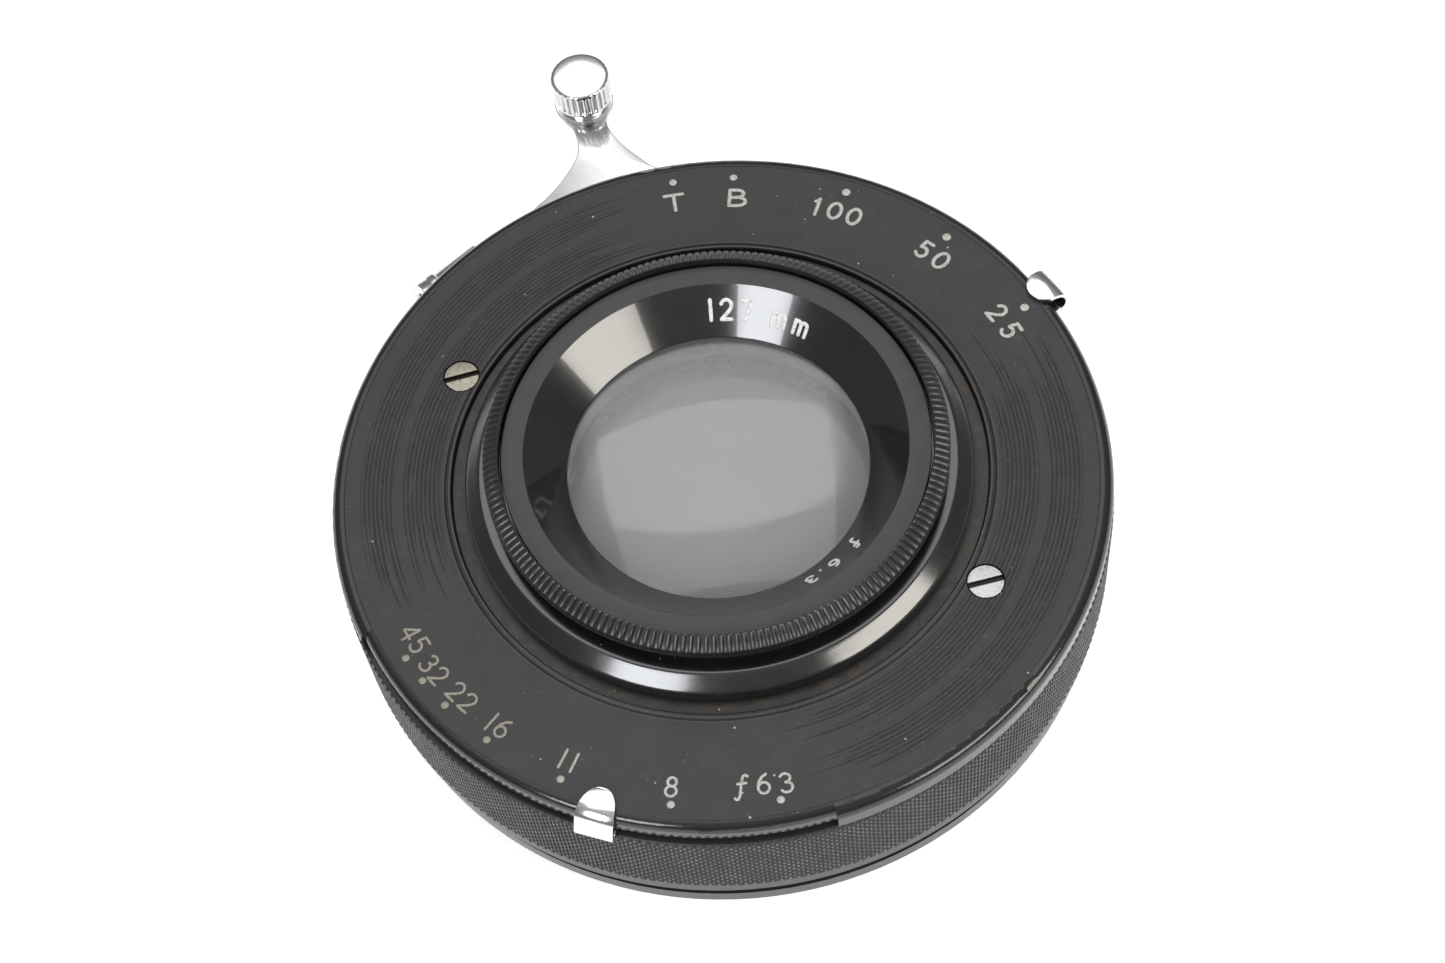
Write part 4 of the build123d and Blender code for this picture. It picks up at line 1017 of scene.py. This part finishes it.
T = 0.34
tip = [(27.02, 13.83), (27.08, 13.83), (27.22, 13.83), (27.5, 13.83), (27.9, 13.83), (28.35, 13.83), (28.52, 13.81), (28.78, 13.72), (29.02, 13.55), (29.24, 13.32), (29.40, 13.02), (29.60, 12.48), (29.77, 12.04),
       (29.80, 11.86), (29.72, 11.79), (29.5, 11.775), (28.0, 11.775), (25.0, 11.775), (24.3, 11.775)]
wid = [0.12, 0.46, 0.70, 0.95, 1.18, 1.32, 1.36, 1.40, 1.43, 1.45, 1.45, 1.45, 1.45, 1.45, 1.45, 1.45, 1.45, 1.45, 1.45]
v1, f1 = pointer(-81.2, tip, wid, T)
leg = [(24.3, 11.775), (24.24, 11.7), (24.225, 11.5), (24.225, 8.2), (24.2, 7.95), (24.0, 7.875), (22.0, 7.875), (18.95, 7.875)]
v2, f2 = pointer(-81.2, leg, [1.45] * 8, T)
make("iris_pointer_bent", *merge((v1, f1), (v2, f2)), "aperture_control", "nickel", ("iris_pointer",), 40.0, NICKEL)
tip_s = [(28.12, 13.83), (28.20, 13.83), (28.45, 13.83), (28.9, 13.83), (29.2, 13.83), (29.58, 13.80), (30.0, 13.67),
         (30.38, 13.40), (30.62, 13.03), (30.74, 12.59), (30.70, 12.20), (30.55, 11.90), (30.30, 11.73), (30.0, 11.68),
         (28.0, 11.675), (25.0, 11.675), (24.05, 11.675)]
wid_s = [0.12, 0.50, 0.92, 1.25, 1.37] + [1.395] * 12
v1, f1 = pointer(57.3, tip_s, wid_s, T)
make("speed_pointer_bent", v1, f1, "speed_selector", "nickel", ("speed_pointer",), 40.0, NICKEL)


# ---------------------------------------------------------------------------
# scale figures: raised enamel strokes
# ---------------------------------------------------------------------------
def arc(cx, cy, rx, ry, a0, a1, n=14):
    return [(cx + rx * cos(radians(a0 + (a1 - a0) * i / n)), cy + ry * sin(radians(a0 + (a1 - a0) * i / n))) for i in range(n + 1)]


GLYPH = {
    "0": (0.60, [(arc(0.30, 0.5, 0.29, 0.48, 90, 450, 28)[:-1], True)]),
    "1": (0.10, [([(0.05, 0.0), (0.05, 0.5), (0.05, 0.98)], False)]),
    "i": (0.30, [([(0.15, 0.0), (0.15, 0.5), (0.15, 0.98)], False), ([(0.15, 0.98), (0.06, 0.86), (-0.02, 0.80)], False)]),
    "2": (0.58, [(arc(0.28, 0.70, 0.27, 0.28, 165, -25, 14) + [(0.42, 0.42), (0.20, 0.20), (0.02, 0.02)], False),
                 ([(0.02, 0.02), (0.30, 0.02), (0.58, 0.03)], False)]),
    "3": (0.56, [(arc(0.26, 0.74, 0.24, 0.23, 150, -85, 12), False), (arc(0.26, 0.27, 0.28, 0.26, 90, -150, 14), False)]),
    "4": (0.62, [([(0.46, 0.0), (0.46, 0.5), (0.46, 0.98)], False), ([(0.46, 0.98), (0.22, 0.64), (0.0, 0.32), (0.32, 0.32), (0.62, 0.32)], False)]),
    "5": (0.56, [([(0.53, 0.97), (0.32, 0.97), (0.12, 0.97)], False), ([(0.12, 0.97), (0.09, 0.78), (0.07, 0.56)], False),
                 (arc(0.26, 0.31, 0.28, 0.30, 125, -145, 16), False)]),
    "6": (0.58, [(arc(0.29, 0.29, 0.27, 0.28, 90, 450, 24)[:-1], True),
                 ([(0.46, 0.97), (0.26, 0.86), (0.10, 0.64), (0.03, 0.40), (0.03, 0.30)], False)]),
    "7": (0.56, [([(0.02, 0.97), (0.30, 0.97), (0.55, 0.97)], False), ([(0.55, 0.97), (0.38, 0.55), (0.24, 0.0)], False)]),
    "8": (0.56, [(arc(0.28, 0.745, 0.21, 0.225, 90, 450, 20)[:-1], True), (arc(0.28, 0.27, 0.26, 0.265, 90, 450, 22)[:-1], True)]),
    "T": (0.66, [([(0.33, 0.0), (0.33, 0.5), (0.33, 0.96)], False), ([(0.0, 0.97), (0.33, 0.97), (0.66, 0.97)], False)]),
    "B": (0.60, [([(0.05, 0.0), (0.05, 0.5), (0.05, 0.98)], False),
                 ([(0.05, 0.98), (0.22, 0.98)] + arc(0.28, 0.75, 0.21, 0.23, 88, -88, 10) + [(0.2, 0.52), (0.05, 0.52)], False),
                 ([(0.05, 0.52), (0.22, 0.52)] + arc(0.30, 0.26, 0.26, 0.26, 88, -88, 12) + [(0.2, 0.0), (0.05, 0.0)], False)]),
    "f": (0.50, [([(0.58, 0.98), (0.50, 1.06), (0.40, 1.02), (0.33, 0.88), (0.26, 0.5), (0.18, 0.02), (0.10, -0.16), (0.0, -0.18), (-0.06, -0.10)], False),
                 ([(0.10, 0.62), (0.30, 0.63), (0.50, 0.64)], False)]),
    "m": (0.78, [([(0.04, 0.0), (0.04, 0.34), (0.04, 0.64)], False),
                 ([(0.04, 0.46)] + arc(0.21, 0.46, 0.17, 0.18, 170, 0, 8) + [(0.38, 0.3), (0.38, 0.0)], False),
                 ([(0.38, 0.46)] + arc(0.56, 0.46, 0.17, 0.18, 170, 0, 8) + [(0.73, 0.3), (0.73, 0.0)], False)]),
    ".": (0.12, [([(0.05, 0.03), (0.06, 0.05)], False)]),
    ":": (0.12, [([(0.05, 0.13), (0.06, 0.15)], False), ([(0.05, 0.57), (0.06, 0.59)], False)]),
}


def resample(pts, closed, step):
    """Even spacing along a polyline."""
    p = pts + [pts[0]] if closed else pts
    seg = [hypot(b[0] - a[0], b[1] - a[1]) for a, b in zip(p, p[1:])]
    total = sum(seg)
    n = max(1, int(round(total / step)))
    out, i, acc = [], 0, 0.0
    for k in range(n + (0 if closed else 1)):
        d = total * k / n
        while i < len(seg) - 1 and acc + seg[i] < d - 1e-12:
            acc += seg[i]
            i += 1
        t = 0 if seg[i] == 0 else min(1, (d - acc) / seg[i])
        out.append((p[i][0] + (p[i + 1][0] - p[i][0]) * t, p[i][1] + (p[i + 1][1] - p[i][1]) * t))
    return out


def stroke_mesh(pts, closed, half, rise, sink, to3d, rnd):
    """A raised rounded bead along a 2-D line. to3d(x, y) gives a surface point and its normal."""
    pts = resample(pts, closed, half * 0.55)
    n = len(pts)
    K = 7
    rows = []
    stations = []
    for i, p in enumerate(pts):
        a = pts[(i - 1) % n] if closed else pts[max(i - 1, 0)]
        b = pts[(i + 1) % n] if closed else pts[min(i + 1, n - 1)]
        dx, dy = b[0] - a[0], b[1] - a[1]
        d = hypot(dx, dy) or 1
        stations.append((p, (dx / d, dy / d), 1.0 + rnd.uniform(-0.07, 0.07)))
    if not closed:
        (p0, t0, _), (p1, t1, _) = stations[0], stations[-1]
        pre = [((p0[0] - t0[0] * half * e, p0[1] - t0[1] * half * e), t0, sqrt(max(0.02, 1 - e * e))) for e in (0.97, 0.8, 0.45)]
        post = [((p1[0] + t1[0] * half * e, p1[1] + t1[1] * half * e), t1, sqrt(max(0.02, 1 - e * e))) for e in (0.45, 0.8, 0.97)]
        stations = pre + stations + post
    verts, faces = [], []
    for (x, y), (tx, ty), s in stations:
        nx, ny = -ty, tx
        row = []
        for k in range(K):
            a = pi * k / (K - 1)
            o = half * s * cos(a)
            h = rise * (sin(a) ** 0.7) * min(1.0, s)
            P, N = to3d(x + nx * o, y + ny * o)
            row.append(len(verts))
            verts.append(tuple(P[j] + N[j] * h for j in range(3)))
        for o in (-half * s, half * s):
            P, N = to3d(x + nx * o, y + ny * o)
            row.append(len(verts))
            verts.append(tuple(P[j] - N[j] * sink for j in range(3)))
        rows.append(row)
    m = len(rows[0])
    pairs = list(zip(rows, rows[1:])) + ([(rows[-1], rows[0])] if closed else [])
    for a, b in pairs:
        for i in range(m):
            faces.append((a[i], a[(i + 1) % m], b[(i + 1) % m], b[i]))
    if not closed:
        faces.append(tuple(rows[0][::-1]))
        faces.append(tuple(rows[-1]))
    return verts, outward(verts, faces)


rnd = random.Random(7)
bits = []


def face_char(ch, ang, r_mid, h, half, tops_out, squeeze=1.0, rise=0.045):
    w, strokes = GLYPH[ch]
    cx, cy = pol(r_mid, ang)
    up = (cos(radians(ang)), sin(radians(ang)))
    if not tops_out:
        up = (-up[0], -up[1])
    right = (up[1], -up[0])

    def to3d(x, y):
        return (cx + right[0] * x + up[0] * y, cy + right[1] * x + up[1] * y, FACE_Z), (0, 0, 1)

    hh = h - 2 * half
    for pts, closed in strokes:
        q = [((x - w / 2) * hh * squeeze, (y - 0.5) * hh) for x, y in pts]
        bits.append(stroke_mesh(q, closed, half, rise, 0.04, to3d, rnd))


def dot(ang, r, radius=0.36):
    cx, cy = pol(r, ang)
    n, prof = 20, [(0, 13.655), (radius * 0.45, 13.648), (radius * 0.8, 13.63), (radius, 13.59), (radius, 13.56), (0, 13.56)]
    vv, ff = lathe_mesh(prof, n, (cx, cy))
    bits.append((vv, outward(vv, ff)))


for ch, ang in (("T", 124.3), ("B", 112.8), ("i", 98.0), ("0", 94.7), ("0", 91.0), ("5", 76.4), ("0", 72.5),
                ("2", 57.6), ("5", 53.2)):
    face_char(ch, ang, 25.2, 1.86, 0.148, True, {"T": 1.42, "B": 1.62, "0": 1.08}.get(ch, 1.0))
for ch, ang, r in (("4", -124.1, 26.0), ("5", -121.3, 25.9), ("3", -117.5, 26.1), ("2", -114.7, 26.1), ("2", -110.7, 25.95), ("2", -107.8, 25.95),
                   ("1", -102.6, 25.95), ("6", -100.4, 25.9), ("1", -89.2, 25.75), ("1", -87.2, 25.75), ("8", -71.2, 25.9),
                   ("f", -60.4, 25.85), ("6", -56.9, 25.85), ("3", -53.4, 26.05)):
    face_char(ch, ang, r, 1.70, 0.105, False)
dot(-55.0, 25.35, 0.09)
for a, r in ((124.0, 27.2), (113.7, 27.2), (94.2, 27.2), (74.9, 27.2), (55.9, 27.2)):
    dot(a, r, 0.32 if a > 100 else 0.36)
for a in (-54.7, -70.9, -88.0, -101.2, -110.1, -115.7, -120.5):
    dot(a, 27.25, 0.30)
v, f = merge(*bits)
make("scale_figures", v, f, "case", "enamel", (), 50.0, CREAM)

# generic focal length and aperture on the cone of the name ring
bits = []
SL = hypot(3.0, 2.98)
CN = (-2.98 / SL, 3.0 / SL)          # cone normal in (r, z): inward and up


def cone_text(text, mid_ang, h, half, pitch_scale=1.0):
    r_mid = 12.86
    hh = h - 2 * half
    widths = [GLYPH[c][0] * hh * 0.92 + half * 2 + 0.42 if c != " " else 0.9 for c in text]
    total = sum(widths)
    pos = -total / 2
    for c, wd in zip(text, widths):
        if c != " ":
            ang0 = radians(mid_ang) - (pos + wd / 2) / r_mid

            def to3d(x, y, ang0=ang0):
                s = y + 0.0
                r = r_mid + s * 3.0 / SL
                z = 14.36 + (r - 11.3) * 2.98 / 3.0
                a = ang0 - x / r_mid
                return (r * cos(a), r * sin(a), z), (CN[0] * cos(a), CN[0] * sin(a), CN[1])

            w, strokes = GLYPH[c]
            for pts, closed in strokes:
                q = [((x - w / 2) * hh * 0.92, (y - 0.5) * hh) for x, y in pts]
                bits.append(stroke_mesh(q, closed, half, 0.05, 0.03, to3d, rnd))
        pos += wd


cone_text("127 mm", 101.0, 1.9, 0.15)
cone_text("f 6.3", -22.0, 1.55, 0.12)
if bits:
    v, f = merge(*bits)
    make("ring_figures", v, f, "case", "gloss_black", (), 50.0, WHITE)

# ---------------------------------------------------------------------------
# floor, light, camera
# ---------------------------------------------------------------------------
floor_z = -10.5
verts = []
N = 40
for j in range(N + 1):
    for i in range(N + 1):
        x = -1.6 + 3.2 * i / N
        y = -1.6 + 3.2 * j / N
        verts.append((x / MM, y / MM, floor_z - 0.02))
faces = [(j * (N + 1) + i, j * (N + 1) + i + 1, (j + 1) * (N + 1) + i + 1, (j + 1) * (N + 1) + i) for j in range(N) for i in range(N)]
me = bpy.data.meshes.new("floor")
me.from_pydata([(x * MM, y * MM, z * MM) for x, y, z in verts], [], faces)
floor = bpy.data.objects.new("floor", me)
bpy.context.scene.collection.objects.link(floor)
fm = Mat("glowing_white_sweep", Specular_IOR_Level=0.2)
fm.color(fm.mix(fm.noise(0.02, 2), (0.90, 0.90, 0.90), (0.93, 0.93, 0.93)))
fm.rough(0.7)
# painted light: the floor glows a little, keeping it white and lifting the shadows round the shutter
fm.bsdf.inputs["Emission Color"].default_value = (1, 1, 1, 1)
fm.bsdf.inputs["Emission Strength"].default_value = 0.45
floor.data.materials.append(fm.m)

world = bpy.data.worlds.new("tent")
bpy.context.scene.world = world
world.use_nodes = True
wn = world.node_tree
wn.nodes.clear()
wo = wn.nodes.new("ShaderNodeOutputWorld")
bg = wn.nodes.new("ShaderNodeBackground")
tc = wn.nodes.new("ShaderNodeTexCoord")
sp = wn.nodes.new("ShaderNodeSeparateXYZ")
rp = wn.nodes.new("ShaderNodeValToRGB")
wn.links.new(tc.outputs["Generated"], sp.inputs[0])
mr = wn.nodes.new("ShaderNodeMapRange")
mr.inputs["From Min"].default_value = -1.0
mr.inputs["From Max"].default_value = 1.0
wn.links.new(sp.outputs[2], mr.inputs["Value"])
wn.links.new(mr.outputs[0], rp.inputs[0])
el = rp.color_ramp.elements
el[0].position, el[0].color = 0.0, (0.5, 0.5, 0.51, 1)
el[1].position, el[1].color = 1.0, (0.60, 0.60, 0.60, 1)
for p, c in ((0.48, 0.40), (0.53, 0.22), (0.70, 0.20), (0.88, 0.45)):
    e = el.new(p)
    e.color = (c, c, c * 1.01, 1)
wn.links.new(rp.outputs[0], bg.inputs[0])
bg.inputs[1].default_value = 1.0
wn.links.new(bg.outputs[0], wo.inputs[0])


def softbox(name, direction, distance, w, h, radiance, aim=(0, 0, 0.008), color=(1, 1, 1)):
    li = bpy.data.lights.new(name, "AREA")
    li.shape = "RECTANGLE"
    li.size, li.size_y = w, h
    li.energy = radiance * pi * w * h
    li.color = color
    ob = bpy.data.objects.new(name, li)
    d = Vector(direction).normalized()
    ob.location = Vector(aim) + d * distance
    ob.rotation_euler = d.to_track_quat("Z", "Y").to_euler()
    bpy.context.scene.collection.objects.link(ob)
    ob.visible_camera = False
    return ob


softbox("tent_top", (-0.19, 0.29, 0.937), 0.62, 0.64, 0.62, 1.45)
softbox("front_box", (-0.05, -0.84, 0.54), 0.60, 0.24, 0.20, 11.0, color=(0.93, 0.95, 1.0))
softbox("right_box", (0.88, -0.06, 0.48), 0.60, 0.40, 0.20, 7.5, color=(1.0, 0.97, 0.88))

cam = bpy.data.cameras.new("camera")
cam.lens = 63.69
cam.sensor_width = 36.0
cam.sensor_fit = "HORIZONTAL"
cam.clip_start = 0.005
cam.clip_end = 20.0
co = bpy.data.objects.new("camera", cam)
R = Vector((0.89549, 0.43946, -0.07057))
U = Vector((-0.34796, 0.79007, 0.50469))
F = Vector((-0.27757, 0.42742, -0.86038))
m4 = Matrix(((R.x, U.x, -F.x, 53.76 * MM), (R.y, U.y, -F.y, -82.52 * MM), (R.z, U.z, -F.z, 177.99 * MM), (0, 0, 0, 1)))
co.matrix_world = m4
bpy.context.scene.collection.objects.link(co)
bpy.context.scene.camera = co
bpy.context.scene.view_settings.view_transform = "Standard"
bpy.context.scene.view_settings.look = "None"
bpy.context.scene.view_settings.exposure = 0.0
